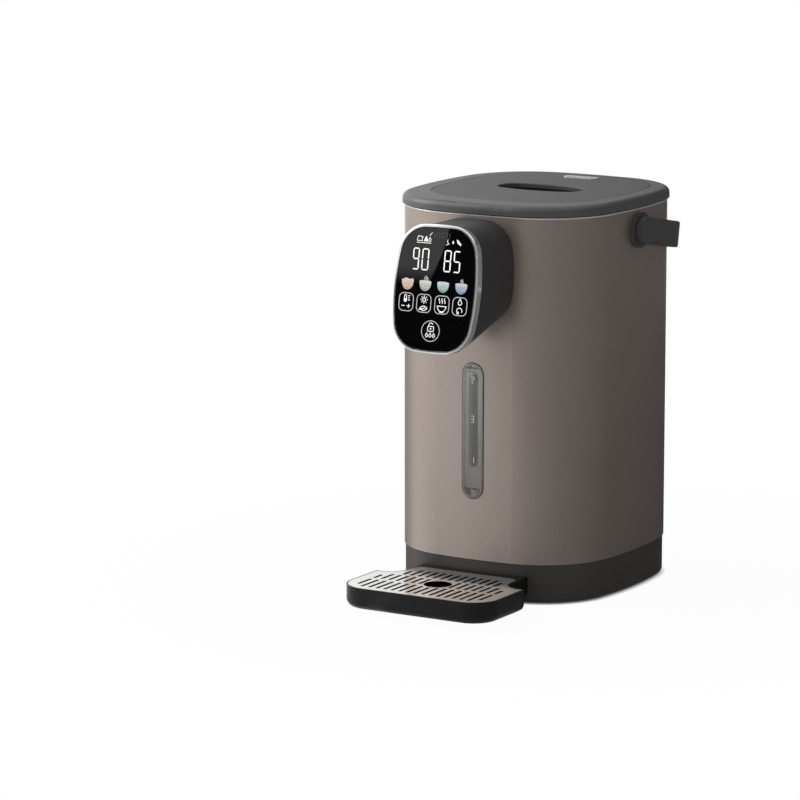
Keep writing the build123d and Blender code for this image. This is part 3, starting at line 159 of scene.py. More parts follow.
metalLooks = {
    # stainless sheet of the grille, brushed and pickled bright, so that part of its light
    # scatters; the upright sides of the punched slots take a near-black colour, painted shade in the slots
    "grille_steel": dict(tones=("#FAFAF8", "#F1F0EE"), rough=(0.10, 0.17), marks=(40, 0.5, 0.5),
                         height=0.002, metal=0.86, walls="#1C1C1C"),
    # chrome plate on moulded ABS: it keeps the moulding's slow ripple, and a thin clear coat
    # scatters part of its light
    "bezel_chrome": dict(tones=("#FAFAFB", "#ECECEE"), rough=(0.07, 0.14), marks=(6, 6, 6),
                         height=0.006, metal=0.8),
    # nickel plate, blasted with glass beads before the bath: bright, and mostly scattering
    "vent_chrome": dict(tones=("#FAFAFA", "#F0F0F2"), rough=(0.14, 0.22), marks=(5, 5, 5),
                        height=0.003, metal=0.35),
    # deep-drawn stainless pot: rings from the drawing press show as level bands
    "pot_steel": dict(tones=("#CFCFCE", "#BEBEBD"), rough=(0.24, 0.36), marks=(60, 60, 0.8),
                      height=0.004),
    # zinc-plated sheet, rolled along x: fine lines run from side to side
    "bracket_steel": dict(tones=("#B9BABB", "#ABACAD"), rough=(0.3, 0.42), marks=(30, 1, 1),
                          height=0.004),
    # the motor's can, turned on a lathe: rings round its axis
    "motor_steel": dict(tones=("#C2C3C5", "#B2B3B5"), rough=(0.28, 0.4), marks=(20, 20, 0.6),
                        height=0.004),
    # rolled and zinc-plated screws
    "screw_steel": dict(tones=("#B4B5B8", "#A0A1A4"), rough=(0.26, 0.4), marks=(2, 2, 0.3),
                        height=0.006),
    # die-cast aluminium of the heater: a cloudy skin without direction
    "heater_aluminium": dict(tones=("#C9C9C8", "#B4B4B3"), rough=(0.42, 0.58), marks=(1.6, 1.6, 1.6),
                             height=0.03),
    # drawn brass: the marks follow the blades
    "blade_brass": dict(tones=("#D8B45E", "#C7A352"), rough=(0.2, 0.32), marks=(0.5, 12, 0.5),
                        height=0.004),
}
markStrength = 0.5  # share of the marks' full bump


def metalFinish(name, look):
    # stretched noise gives the marks; they vary the tone, the roughness and the height
    material, tree, shader, place = startMaterial(name, Metallic=look.get("metal", 1.0))
    stretch = addNode(tree, "ShaderNodeMapping",
                      {"Vector": place, "Scale": tuple(perMillimetre / size for size in look["marks"])})
    marks = addNode(tree, "ShaderNodeTexNoise",
                    {"Vector": stretch.outputs["Vector"], "Scale": 1.0, "Detail": 3.0})
    tone = dressSurface(tree, shader, look, marks.outputs["Fac"], marks.outputs["Fac"],
                        (markStrength, look["height"]))
    if "walls" in look:
        # level faces keep the tone; upright faces, the slots' sides, take a dark tone: painted shade in the
        # slots
        rise = addNode(tree, "ShaderNodeSeparateXYZ", {"Vector": place.node.outputs["Normal"]})
        level = addNode(tree, "ShaderNodeMath", {0: rise.outputs["Z"]}, operation="ABSOLUTE")
        walled = addNode(tree, "ShaderNodeMix", {0: level.outputs["Value"], 6: linearColour(look["walls"]),
                                                 7: tone}, data_type="RGBA")
        tree.links.new(walled.outputs[2], shader.inputs["Base Color"])
    return material


# Sleeve: rolled steel sheet with a sprayed metallic lacquer in taupe

sleeve = {
    "taupe": "#B0A49C", "taupeWarm": "#AA9D96", "drift": 60,  # two tones, and how far apart they lie, mm
    "metallic": 0.75, "rough": (0.32, 0.40),
    "flake": 0.45, "flakeStrength": 0.10,  # drawn a little coarser than real flakes, so that they show
    "peel": 3.5, "peelDepth": 0.012, "peelStrength": 0.4,  # orange peel of the spray coat, mm
}


def sleeveLacquer(look):
    # metallic flakes tint the tone cell by cell, and the spray coat ripples softly
    material, tree, shader, place = startMaterial("sleeve_steel", Metallic=look["metallic"])
    drift = addNode(tree, "ShaderNodeTexNoise",
                    {"Vector": place, "Scale": perMillimetre / look["drift"], "Detail": 2.0})
    tone = addNode(tree, "ShaderNodeMix", {0: drift.outputs["Fac"], 6: linearColour(look["taupe"]),
                                           7: linearColour(look["taupeWarm"])}, data_type="RGBA")
    flake = addNode(tree, "ShaderNodeTexVoronoi", {"Vector": place, "Scale": perMillimetre / look["flake"]})
    spark = addNode(tree, "ShaderNodeMapRange", {
        "Value": flake.outputs["Color"],
        "To Min": 1 - look["flakeStrength"], "To Max": 1 + look["flakeStrength"]})
    tinted = addNode(tree, "ShaderNodeVectorMath", {0: tone.outputs[2], "Scale": spark.outputs["Result"]},
                     operation="SCALE")
    sheen = addNode(tree, "ShaderNodeMapRange", {"Value": flake.outputs["Color"],
                                                 "To Min": look["rough"][0], "To Max": look["rough"][1]})
    peel = addNode(tree, "ShaderNodeTexNoise",
                   {"Vector": place, "Scale": perMillimetre / look["peel"], "Detail": 1.0})
    bump = addNode(tree, "ShaderNodeBump", {"Height": peel.outputs["Fac"], "Strength": look["peelStrength"],
                                            "Distance": look["peelDepth"] * millimetre})
    tree.links.new(tinted.outputs["Vector"], shader.inputs["Base Color"])
    tree.links.new(sheen.outputs["Result"], shader.inputs["Roughness"])
    tree.links.new(bump.outputs["Normal"], shader.inputs["Normal"])
    return material


# Glass and clear plastics. haze: size of the faint unevenness in mm

clearLooks = {
    # soda-lime touch glass, printed black on its back: a mirror-smooth black with faint finger haze
    "panel_glass": dict(tones=("#0B0B0D", "#0E0E10"), rough=(0.012, 0.03), haze=14, through=0.0, ior=1.5),
    # smoked acrylic lens, injection moulded and polished; its colour is darkened from 195 mm
    # down to 95 mm above the table as painted shade
    "smoked_lens": dict(tones=("#E2E5E0", "#D8DBD6"), rough=(0.05, 0.10), haze=10, through=0.92, ior=1.49,
                        foot=("#C6C3C1", 95, 195)),
    # extruded clear tube, tinted by the water, and darkened further as painted shade for the dark behind it
    "clear_tube": dict(tones=("#8E9C95", "#86948D"), rough=(0.06, 0.10), haze=8, through=0.96, ior=1.45),
}


def clearFinish(name, look):
    # a hardly uneven gloss; what passes light is set by the transmission
    material, tree, shader, place = startMaterial(name, IOR=look["ior"],
                                                  Transmission_Weight=look["through"])
    haze = addNode(tree, "ShaderNodeTexNoise",
                   {"Vector": place, "Scale": perMillimetre / look["haze"], "Detail": 4.0})
    tone = dressSurface(tree, shader, look, haze.outputs["Fac"], haze.outputs["Fac"])
    # painted shade: the colour darkens towards the lens's lower end
    if "foot" in look:
        foot, low, high = look["foot"]
        height = addNode(tree, "ShaderNodeSeparateXYZ", {"Vector": place}).outputs["Z"]
        rise = addNode(tree, "ShaderNodeMapRange", {"Value": height, "From Min": low * millimetre,
                                                    "From Max": high * millimetre})
        graded = addNode(tree, "ShaderNodeMix", {0: rise.outputs["Result"], 6: linearColour(foot), 7: tone},
                         data_type="RGBA")
        tree.links.new(graded.outputs[2], shader.inputs["Base Color"])
    return material


finishes = {"sleeve_steel": sleeveLacquer(sleeve)}
finishes.update({name: mouldedFinish(name, look) for name, look in mouldedLooks.items()})
finishes.update({name: metalFinish(name, look) for name, look in metalLooks.items()})
finishes.update({name: clearFinish(name, look) for name, look in clearLooks.items()})
for part in frame["record"]["subparts"]:
    partMesh = nodes[part["node"]].data
    partMesh.materials.clear()
    partMesh.materials.append(finishes[part["material_slot"]])
print("materials:", len(finishes))


# Flat shapes, in mm on a plane: strokes and filled outlines

def arcPath(centre, radii, start, end, steps=24):
    # points on an ellipse's arc, from the start angle to the end angle in degrees
    turn = np.radians(np.linspace(start, end, steps))
    return np.stack([centre[0] + radii[0] * np.cos(turn), centre[1] + radii[1] * np.sin(turn)], -1)


def ringPath(centre, radius, steps):
    # points round a circle, the last one a step before the first
    return arcPath(centre, (radius, radius), 0, 360 - 360 / steps, steps)


def roundedPath(centre, halfWidth, halfHeight, corner, steps=9):
    # a rounded rectangle: four quarter arcs, one after another
    inX, inY = halfWidth - corner, halfHeight - corner
    quarters = ((1, 1, 0), (-1, 1, 90), (-1, -1, 180), (1, -1, 270))
    return np.concatenate([arcPath((centre[0] + sx * inX, centre[1] + sy * inY), (corner, corner),
                                   start, start + 90, steps) for sx, sy, start in quarters])


def stroke(path, width, closed=False):
    # a band along a path: each point steps half the width to both sides, and where the path turns
    # by the inverse cosine of half the turn further, at most twice as far
    path = np.asarray(path, float)
    ahead, behind = np.roll(path, -1, 0) - path, path - np.roll(path, 1, 0)
    if not closed:
        ahead[-1], behind[0] = behind[-1], ahead[0]
    ahead /= np.linalg.norm(ahead, axis=1, keepdims=True)
    behind /= np.linalg.norm(behind, axis=1, keepdims=True)
    middle = ahead + behind
    middle /= np.linalg.norm(middle, axis=1, keepdims=True)
    side = np.stack([-middle[:, 1], middle[:, 0]], -1)
    reach = width / 2 / np.clip((middle * ahead).sum(1, keepdims=True), 0.5, 1)
    count = len(path)
    first = np.arange(count if closed else count - 1)
    second = (first + 1) % count
    faces = np.stack([first, second, second + count, first + count], -1)
    return np.concatenate([path - side * reach, path + side * reach]), faces.tolist()


def filled(outline):
    # one face inside a closed outline, turned so that it looks outwards
    outline = np.asarray(outline, float)
    following = np.roll(outline, -1, 0)
    area = (outline[:, 0] * following[:, 1] - following[:, 0] * outline[:, 1]).sum()
    return (outline if area > 0 else outline[::-1]), [list(range(len(outline)))]


def joined(shapes):
    # several flat shapes as one list of points and faces
    points, faces, start = [], [], 0
    for shapePoints, shapeFaces in shapes:
        points.append(shapePoints)
        faces += [[i + start for i in face] for face in shapeFaces]
        start += len(shapePoints)
    return np.concatenate(points), faces


def meshObject(name, points, faces, material):
    # a mesh in metres whose object stands at the origin
    mesh = bpy.data.meshes.new(name)
    mesh.from_pydata(np.asarray(points, float).tolist(), [], faces)
    mesh.update()
    mesh.materials.append(material)
    thing = bpy.data.objects.new(name, mesh)
    bpy.context.scene.collection.objects.link(thing)
    return thing


def finishPiece(name, points, faces, material, body, slot, thickness=0.0, smooth=False):
    # a piece given in mm, with the body it rides on; slot, the finish it stands for, is not used
    piece = meshObject(name, np.asarray(points) * millimetre, faces, material)
    piece.data.polygons.foreach_set("use_smooth", np.full(len(piece.data.polygons), smooth))
    if thickness:
        skin = piece.modifiers.new("thickness", "SOLIDIFY")
        skin.thickness = thickness * millimetre
        skin.offset = 1.0
    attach(piece, body)


# Display: ink behind the glass, lit from there

panel = {
    "y": -175.5, "z": 281.3, "tilt": 9.7,  # centre of the glass, and how far it leans back
    "lift": 0.03, "ink": 0.04,  # it is drawn just proud of the black glass, so that it shows, mm
    "low": 250, "high": 330,  # heights between which the ink runs from its lower to its upper tone
}
# Translucent inks, screen-printed behind the glass and lit by diodes, so that they look even and
# slightly soft: upper tone, lower tone and the light that comes through
inks = {
    "display_white": ("#F4F4F2", "#E6E6E6", 0.75),  # the brightest, for the figures
    "key_print": ("#CBC8C4", "#BDBAB6", 0.45),  # a greyer coat, for the rings of the keys
    "display_dim": ("#56555A", "#4A4948", 0.25),  # symbols that are off and only show faintly
    "cup_highlight": ("#F0EEEA", "#DCDAD4", 0.25),  # a thin pale coat over the cups' tints
}


def onPanel(points, layer=0):
    # x to the right and v up the glass, in mm, to the object's own place; each layer lies over the last
    lean = math.radians(panel["tilt"])
    x, v = points[:, 0], points[:, 1]
    out = panel["lift"] + layer * (panel["ink"] + panel["lift"])
    return np.stack([x, panel["y"] + v * math.sin(lean) - out * math.cos(lean),
                     panel["z"] + v * math.cos(lean) + out * math.sin(lean)], -1)


def litInk(name, top, bottom, low, high, glow, blotch=0.06, spot=2.5):
    # ink lit from behind: its colour runs from the bottom tone to the top one between two heights,
    # with slight blotches of spot mm
    material, tree, shader, place = startMaterial(name, Roughness=0.35, IOR=1.5, Emission_Strength=glow)
    height = addNode(tree, "ShaderNodeSeparateXYZ", {"Vector": place}).outputs["Z"]
    rise = addNode(tree, "ShaderNodeMapRange", {"Value": height, "From Min": low * millimetre,
                                                "From Max": high * millimetre})
    spots = addNode(tree, "ShaderNodeTexNoise",
                    {"Vector": place, "Scale": perMillimetre / spot, "Detail": 2.0})
    shift = addNode(tree, "ShaderNodeMapRange", {"Value": spots.outputs["Fac"],
                                                 "To Min": -blotch, "To Max": blotch})
    step = addNode(tree, "ShaderNodeMath", {0: rise.outputs["Result"], 1: shift.outputs["Result"]},
                   operation="ADD", use_clamp=True)
    tone = addNode(tree, "ShaderNodeMix", {0: step.outputs["Value"], 6: linearColour(bottom),
                                           7: linearColour(top)}, data_type="RGBA")
    tree.links.new(tone.outputs[2], shader.inputs["Base Color"])
    tree.links.new(tone.outputs[2], shader.inputs["Emission Color"])
    return material


def panelPrint(name, shapes, material, layer=0):
    # flat shapes laid on the glass as one thin layer of ink
    points, faces = joined(shapes)
    finishPiece(name, onPanel(points, layer), faces, material, "root", "panel_glass", panel["ink"])


litInks = {name: litInk(name, top, bottom, panel["low"], panel["high"], glow)
           for name, (top, bottom, glow) in inks.items()}

# Seven-segment figures: each with its left and right edge, mm
digits = {
    "low": 15.0, "high": 33.6, "line": 1.05, "gap": 0.22,
    "shown": (("9", -24.2, -17.9), ("0", -15.3, -8.5), ("8", 6.5, 13.3), ("5", 15.7, 22.4)),
    "segments": {"9": "abcdfg", "0": "abcdef", "8": "abcdefg", "5": "acdfg"},
}


def digitShapes(look):
    # seven bars with pointed ends, round the two loops of each figure
    half, gap = look["line"] / 2, look["gap"]
    shapes = []
    for figure, left, right in look["shown"]:
        x0, x1, v0, v1 = left + half, right - half, look["low"] + half, look["high"] - half
        middle = (v0 + v1) / 2
        ends = {"a": ((x0, v1), (x1, v1)), "b": ((x1, middle), (x1, v1)),
                "c": ((x1, v0), (x1, middle)), "d": ((x0, v0), (x1, v0)),
                "e": ((x0, v0), (x0, middle)), "f": ((x0, middle), (x0, v1)),
                "g": ((x0, middle), (x1, middle))}
        for letter in look["segments"][figure]:
            start, end = np.array(ends[letter][0]), np.array(ends[letter][1])
            length = np.linalg.norm(end - start)
            along = (end - start) / length
            across = np.array([-along[1], along[0]])
            run = length - 2 * gap
            reach = np.array([0, half, run - half, run, run - half, half])
            width = np.array([0, half, half, 0, -half, -half])
            shapes.append(filled(start + along * (gap + reach[:, None]) + across * width[:, None]))
    return shapes


panelPrint("display_digits", digitShapes(digits), litInks["display_white"])

# Cups below the digits, each in its own tint, with a pale line round the mouth and a swirl
cups = {
    "rim": 5.6, "foot": -2.6, "halfWidth": 5.8, "mouth": 1.1,  # mm from the middle of the glass
    "taper": 0.10, "fullness": 0.72,  # how far the side swings in, and how full the bowl is
    "rimLine": 0.45, "rimInset": (0.3, 0.2),
    "swirl": (2.6, 1.3), "swirlPlace": (0.6, -4.0), "swirlLine": 0.35,
    "glow": 0.22, "blotch": 0.2,
    # name, centre, upper and lower tone, and how far the mouth ripples, mm
    "tints": (("cup_peach", -27.2, "#EBD8C8", "#CDA68E", 0.9),
              ("cup_cream", -9.8, "#E6E3D9", "#A8A38D", 0.0),
              ("cup_mint", 7.6, "#D6E6E3", "#74A09E", 0.0),
              ("cup_blue", 25.3, "#C9D4E2", "#7F90B0", 0.0)),
}


def cupShape(centre, look, ripple):
    # a bowl over half a turn t: x is the half width times cos t, drawn in by the taper times sin t,
    # and v falls from the rim by the depth times sin t to the power of the fullness; above it half
    # an oval as the mouth, which may ripple by a squared sine
    turn = np.linspace(0, math.pi, 25)
    depth = look["rim"] - look["foot"]
    bowl = np.stack([centre + look["halfWidth"] * np.cos(turn) * (1 - look["taper"] * np.sin(turn)),
                     look["rim"] - depth * np.sin(turn) ** look["fullness"]], -1)
    mouth = arcPath((centre, look["rim"]), (look["halfWidth"], look["mouth"]), 0, 180, 25)[1:-1]
    mouth[:, 1] += ripple * np.sin(np.linspace(0.3, 2.4 * math.pi, 23)) ** 2
    return filled(np.concatenate([bowl, mouth[::-1]]))


glassRise = math.cos(math.radians(panel["tilt"]))
highlights = []
for cupName, cupCentre, cupLight, cupDark, cupRipple in cups["tints"]:
    cupInk = litInk(cupName + "_ink", cupLight, cupDark, panel["z"] + cups["foot"] * glassRise,
                    panel["z"] + cups["rim"] * glassRise, cups["glow"], cups["blotch"])
    panelPrint(cupName, [cupShape(cupCentre, cups, cupRipple)], cupInk)
    if not cupRipple:
        mouthRadii = (cups["halfWidth"] - cups["rimInset"][0], cups["mouth"] - cups["rimInset"][1])
        highlights.append(stroke(arcPath((cupCentre, cups["rim"]), mouthRadii, 0, 352, 40),
                                 cups["rimLine"], True))
    swirlX, swirlV = cups["swirlPlace"]
    highlights.append(stroke(arcPath((cupCentre + swirlX, cups["rim"] + swirlV), cups["swirl"],
                                     150, 330, 16), cups["swirlLine"]))
panelPrint("cup_highlights", highlights, litInks["cup_highlight"], layer=1)


def wave(x, low, high, swing=0.55, steps=11):
    # an upright line that swings by one period of a sine
    rise = np.linspace(0, 1, steps)
    return np.stack([x + swing * np.sin(rise * 2 * math.pi), low + (high - low) * rise], -1)


def drop(centre, size):
    # round below, and pointed above at 2.1 radii over its middle
    lower = arcPath(centre, (size, size), 150, 390, 17)
    return np.concatenate([lower, [(centre[0], centre[1] + 2.1 * size)]])


# Steam over the second and fourth cup: the outer wisps are shorter
steam = {
    "line": 0.75, "low": 7.2, "high": 10.6, "swing": 0.4, "fall": 0.9,
    "wisps": ((-9.3, (-1.5, 0.0, 1.4)), (25.9, (-1.2, 0.4))),
}
panelPrint("cup_steam", [
    stroke(wave(middle + offset, steam["low"], steam["high"] - steam["fall"] * abs(offset),
                steam["swing"], 9), steam["line"])
    for middle, offsets in steam["wisps"] for offset in offsets], litInks["key_print"])

# Touch keys: four rounded squares and a round one, each with pictograms
keys = {
    "centres": (-27.1, -9.7, 8.0, 25.4), "middle": -12.9, "halfWidth": 6.9, "halfHeight": 7.6,
    "corner": 4.2, "line": 0.72, "round": (-0.9, -35.8), "roundRadius": 8.7, "pen": 0.66,
}
outlines = [stroke(roundedPath((x, keys["middle"]), keys["halfWidth"], keys["halfHeight"], keys["corner"]),
                   keys["line"], True) for x in keys["centres"]]
outlines.append(stroke(ringPath(keys["round"], keys["roundRadius"], 48), keys["line"], True))
panelPrint("key_outlines", outlines, litInks["key_print"])


def keyLine(path, closed=False, share=1.0):
    # a line of the keys' pen, or of a share of its width
    return stroke(path, keys["pen"] * share, closed)


# Drawn in mm about the middle of their key, two rows in each
pictograms = [
    # thermometer over minus and plus
    [keyLine(roundedPath((-1.0, 3.4), 1.0, 2.6, 0.95, 5), True),
     filled(arcPath((-1.0, 1.3), (1.5, 1.5), 0, 345, 18)),
     keyLine([(1.6, 5.2), (3.6, 5.2)]), keyLine([(1.6, 3.4), (3.0, 3.4)]),
     keyLine([(1.6, 1.6), (3.6, 1.6)]),
     keyLine([(-4.4, -3.4), (-1.2, -3.4)]), keyLine([(1.0, -3.4), (4.2, -3.4)]),
     keyLine([(2.6, -5.0), (2.6, -1.8)])],
    # sun over a leaf
    [keyLine(arcPath((0, 3.2), (1.5, 1.5), 0, 340, 18), True),
     *(keyLine([(inner * math.cos(turn), 3.2 + inner * math.sin(turn)) for inner in (2.4, 3.5)])
       for turn in np.radians(np.arange(0, 360, 45))),
     keyLine(np.concatenate([arcPath((0.0, -6.6), (4.2, 4.2), 35, 145, 12),
                             arcPath((0.0, -1.8), (4.2, 4.2), 215, 325, 12)]), True),
     keyLine([(-4.6, -5.6), (1.8, -3.7)])],
    # steam over a bowl
    [*(keyLine(wave(x, 1.2, 5.6)) for x in (-2.6, 0.0, 2.6)),
     keyLine(np.concatenate([[(-4.4, -1.6)], arcPath((0, -1.9), (4.0, 3.9), 180, 360, 18),
                             [(4.4, -1.6)]])),
     keyLine([(-4.8, -1.2), (4.8, -1.2)]), keyLine([(-2.0, -6.3), (2.0, -6.3)])],
    # drop over a turning arrow
    [keyLine(drop((0, 2.9), 1.7), True), keyLine(arcPath((0, -3.6), (2.6, 2.4), -30, 250, 20)),
     keyLine([(-2.6, -6.2), (-0.7, -6.0), (-1.0, -4.1)])],
    # open padlock above three drops, in the round key
    [keyLine(roundedPath((0, 1.9), 2.9, 2.1, 0.7, 4), True),
     keyLine(np.concatenate([[(-1.9, 4.0)], arcPath((0, 5.2), (1.9, 1.7), 180, 20, 12)])),
     filled(arcPath((0, 2.0), (0.7, 0.7), 0, 340, 12)),
     *(keyLine(drop((x, -4.0), 1.1), True, 0.9) for x in (-3.4, 0.0, 3.4))],
]
keyMiddles = [(x, keys["middle"]) for x in keys["centres"]] + [keys["round"]]
panelPrint("key_pictograms", [(points + np.array(keyMiddle), faces)
                              for keyMiddle, shapes in zip(keyMiddles, pictograms)
                              for points, faces in shapes], litInks["display_white"])

# Small state symbols above the digits: the left group lit, the right one mostly dim
symbols = {"line": 0.5, "fine": 0.42}
leftGroup = [
    stroke([(-21.4, 39.8), (-20.6, 43.6), (-17.0, 43.6), (-16.2, 39.8), (-21.4, 39.8)], symbols["line"]),
    stroke([(-16.6, 42.6), (-15.4, 43.2)], symbols["line"]),
    filled([(-15.0, 39.5), (-12.6, 44.4), (-10.4, 39.5)]),
    stroke(drop((-9.0, 40.8), 1.1), symbols["line"], True),
    stroke([(-9.6, 44.6), (-8.2, 46.0), (-7.2, 47.4)], symbols["line"]),
    stroke([(-21.6, 38.2), (-7.6, 38.2)], symbols["line"]),
]
litSpots = [
    stroke([(8.6, 42.6), (8.2, 40.4), (9.8, 38.8), (7.0, 37.8)], symbols["line"]),
    filled(drop((13.8, 40.2), 0.9)),
    filled([(17.0, 43.2), (18.4, 42.6), (22.0, 39.2), (21.2, 37.9), (18.0, 40.2)]),
]
rightGroup = [
    *(stroke(wave(x, 42.4, 48.0, 0.4), symbols["fine"]) for x in (-4.8, -2.4, 0.0)),
    stroke(arcPath((3.6, 45.6), (1.7, 2.4), 40, 320, 16), symbols["fine"]),
    stroke([(7.2, 43.6), (7.2, 48.4)], symbols["fine"]),
    stroke([(10.0, 43.2), (10.0, 48.0)], symbols["fine"]),
]
panelPrint("state_symbols", leftGroup + litSpots, litInks["display_white"])
panelPrint("state_symbols_dim", rightGroup, litInks["display_dim"])
print("display printed")


# Level window: a dark ring round the lens, painted shade for the gap at its edge, and marks on it

window = {
    "low": 89.0, "high": 208.0, "halfWidth": 10.2, "proud": 0.8,
    "faceRadius": 358.0, "faceDepth": 111.0,  # the sleeve's front curve and its reach
    "seal": 0.55, "sealOut": 0.28, "sealRise": 0.3,  # width, and where its section lies, mm
    "lift": 0.03, "ink": 0.04, "markHeight": 5.4, "markWidth": 3.0, "line": 0.55,
    "marks": (("5", 196.0), ("3", 159.0), ("1", 123.0)), "dot": 191.0, "dotRadius": 0.8,
    "printTop": "#E4E8E2", "printFoot": "#DADED8", "printLow": 100, "printHigh": 210, "glow": 0.15,
    "segments": {"5": "acdfg", "3": "abcdg", "1": "bc"},
}


def onFace(points, out):
    # x and z in mm onto the sleeve's shallow front curve, out mm proud of it
    x, z = points[:, 0], points[:, 1]
    sag = window["faceRadius"] - np.sqrt(window["faceRadius"] ** 2 - x ** 2)
    return np.stack([x, sag - window["faceDepth"] - out, z], -1)


def ringFaces(rows, columns):
    # quads between the stations of a closed path and the points of a closed section
    row, column = np.meshgrid(np.arange(rows), np.arange(columns), indexing="ij")
    nextRow, nextColumn = (row + 1) % rows, (column + 1) % columns
    corners = [(row, column), (nextRow, column), (nextRow, nextColumn), (row, nextColumn)]
    return np.stack([r * columns + c for r, c in corners], -1).reshape(-1, 4).tolist()


def sealBead(look):
    # a small round section carried along the lens's edge: half of it shows over the sleeve, a dark ring that
    # stands in for the shade in the gap there (painted shade)
    radius = look["halfWidth"] + look["seal"] / 2
    top, bottom = look["high"] - look["halfWidth"], look["low"] + look["halfWidth"]
    path = np.concatenate([arcPath((0, top), (radius, radius), 0, 180, 25),
                           arcPath((0, bottom), (radius, radius), 180, 360, 25)])
    outwards = np.stack([path[:, 0], path[:, 1] - np.clip(path[:, 1], bottom, top)], -1)
    outwards /= np.linalg.norm(outwards, axis=1, keepdims=True)
    section = np.radians(np.arange(0, 360, 45))
    ring, turn = np.meshgrid(np.arange(len(path)), section, indexing="ij")
    flat = path[ring] + outwards[ring] * (look["seal"] / 2 * np.cos(turn))[..., None]
    points = onFace(flat.reshape(-1, 2), 0.0)
    points[:, 1] -= look["sealOut"] + look["sealRise"] * np.sin(turn).ravel()
    return points, ringFaces(len(path), len(section))


def markShapes(look):
    # figures of seven bars, one above another, and a dot below the highest
    half, tall = look["markWidth"] / 2, look["markHeight"] / 2
    ends = {"a": ((-half, tall), (half, tall)), "b": ((half, 0), (half, tall)),
            "c": ((half, -tall), (half, 0)), "d": ((-half, -tall), (half, -tall)),
            "f": ((-half, 0), (-half, tall)), "g": ((-half, 0), (half, 0))}
    dot = arcPath((0.0, look["dot"]), (look["dotRadius"], look["dotRadius"]), 0, 340, 14)
    return [filled(dot)] + [
        stroke(np.array(ends[letter]) + [0, middle], look["line"])
        for figure, middle in look["marks"] for letter in look["segments"][figure]]


# dark rubber tone where the lens meets the sleeve: painted shade for the gap there
finishPiece("window_seal", *sealBead(window), finishes["foot_rubber"], "root", "foot_rubber",
            smooth=True)
markPoints, markFaces = joined(markShapes(window))
# pale ink pad-printed on the lens, given a faint glow of its own as painted light
markInk = litInk("level_print", window["printTop"], window["printFoot"], window["printLow"],
                 window["printHigh"], window["glow"])
finishPiece("level_marks", onFace(markPoints, window["proud"] + window["lift"]), markFaces, markInk,
            "root", "smoked_lens", window["ink"])
print("level window marked")


# Top edge of the sleeve: a bright rolled bead, and a black strip between it and the rim, painted shade for
# the shadow in the gap under the rim

topEdge = {
    "halfWidth": 102.0, "halfDepth": 111.0,
    "sideRadius": 375.0, "faceRadius": 358.0, "cornerRadius": 69.0,
    "stations": 720, "sides": 12,
    "shadowStrip": {"level": 337.6, "half": 0.45, "proud": 0.35},  # middle height, half height and reach, mm
    "bead": {"level": 336.5, "half": 0.75, "proud": 0.5},
}


def bodyLine(look):
    # the sleeve's plan by the angle t of its outward normal: centre(t) + radius(t) (cos t, sin t),
    # with the side's, the corner's and the face's centre in turn, and the first quarter mirrored
    sideX, faceY = look["halfWidth"] - look["sideRadius"], look["halfDepth"] - look["faceRadius"]
    fromSide, fromFace = look["sideRadius"] - look["cornerRadius"], look["faceRadius"] - look["cornerRadius"]
    span = math.hypot(sideX, faceY)
    along = (fromSide ** 2 - fromFace ** 2 + span ** 2) / (2 * span)
    across = math.sqrt(fromSide ** 2 - along ** 2)
    corner = np.array([sideX - along * sideX / span - across * faceY / span,
                       along * faceY / span - across * sideX / span])
    turn = np.linspace(0, 2 * math.pi, look["stations"], endpoint=False)
    fold = np.arctan2(np.abs(np.sin(turn)), np.abs(np.cos(turn)))
    onSide = fold < math.atan2(corner[1], corner[0] - sideX)
    onFront = fold > math.pi / 2 - math.atan2(corner[0], corner[1] - faceY)
    centre = np.where(onSide[:, None], (sideX, 0), np.where(onFront[:, None], (0, faceY), corner))
    radius = np.where(onSide, look["sideRadius"],
                      np.where(onFront, look["faceRadius"], look["cornerRadius"]))
    normal = np.stack([np.cos(turn), np.sin(turn)], -1)
    return np.sign(normal) * (centre + radius[:, None] * np.abs(normal)), normal


def edgeBand(look, band):
    # an upright oval section, half sunk in the sleeve: proud cos a outwards and half sin a upwards
    line, normal = bodyLine(look)
    angle = np.linspace(0, 2 * math.pi, look["sides"], endpoint=False)
    plan = line[:, None] + normal[:, None] * (band["proud"] * np.cos(angle))[None, :, None]
    level = np.broadcast_to(band["level"] + band["half"] * np.sin(angle), plan.shape[:2])
    points = np.concatenate([plan, level[..., None]], -1).reshape(-1, 3)
    return points, ringFaces(look["stations"], look["sides"])


# the first band is dark rubber tone standing in for the shadow under the rim (painted shade)
for bandName, bandKey, bandSlot in (("rim_shadow_strip", "shadowStrip", "foot_rubber"),
                                    ("sleeve_bead", "bead", "vent_chrome")):
    finishPiece(bandName, *edgeBand(topEdge, topEdge[bandKey]), finishes[bandSlot], "root", bandSlot,
                smooth=True)
print("top edge rolled")


# Studio: white floor and background, a soft lamp from the left, and dark cards for reflections

studio = {
    "floorRadius": 3.0, "floorSides": 72, "floorTone": "#F2F2F2",
    "nearWhite": 0.97,  # share of pure white near the object
    "fadeFrom": 0.20, "fadeTo": 0.55, "contact": 0.005,  # metres
    "ambient": 0.42,  # strength of the white surroundings as light; as a background they are 1
    "key": {"azimuth": -72, "height": 1.35, "distance": 1.7, "size": (1.3, 1.5), "power": 26, "aim": 0.18},
}


def heading(azimuth, distance, height):
    # azimuth in degrees from the front, towards the object's right
    turn = math.radians(azimuth)
    return np.array([distance * math.sin(turn), -distance * math.cos(turn), height])


def seenDirectly(tree):
    # 1 for the camera's rays and for what metal and glass show, 0 for light on its way
    ray = addNode(tree, "ShaderNodeLightPath").outputs
    seen = addNode(tree, "ShaderNodeMath", {0: ray["Is Camera Ray"], 1: ray["Is Glossy Ray"]},
                   operation="MAXIMUM")
    return addNode(tree, "ShaderNodeMath", {0: seen.outputs["Value"], 1: ray["Is Transmission Ray"]},
                   operation="MAXIMUM").outputs["Value"]


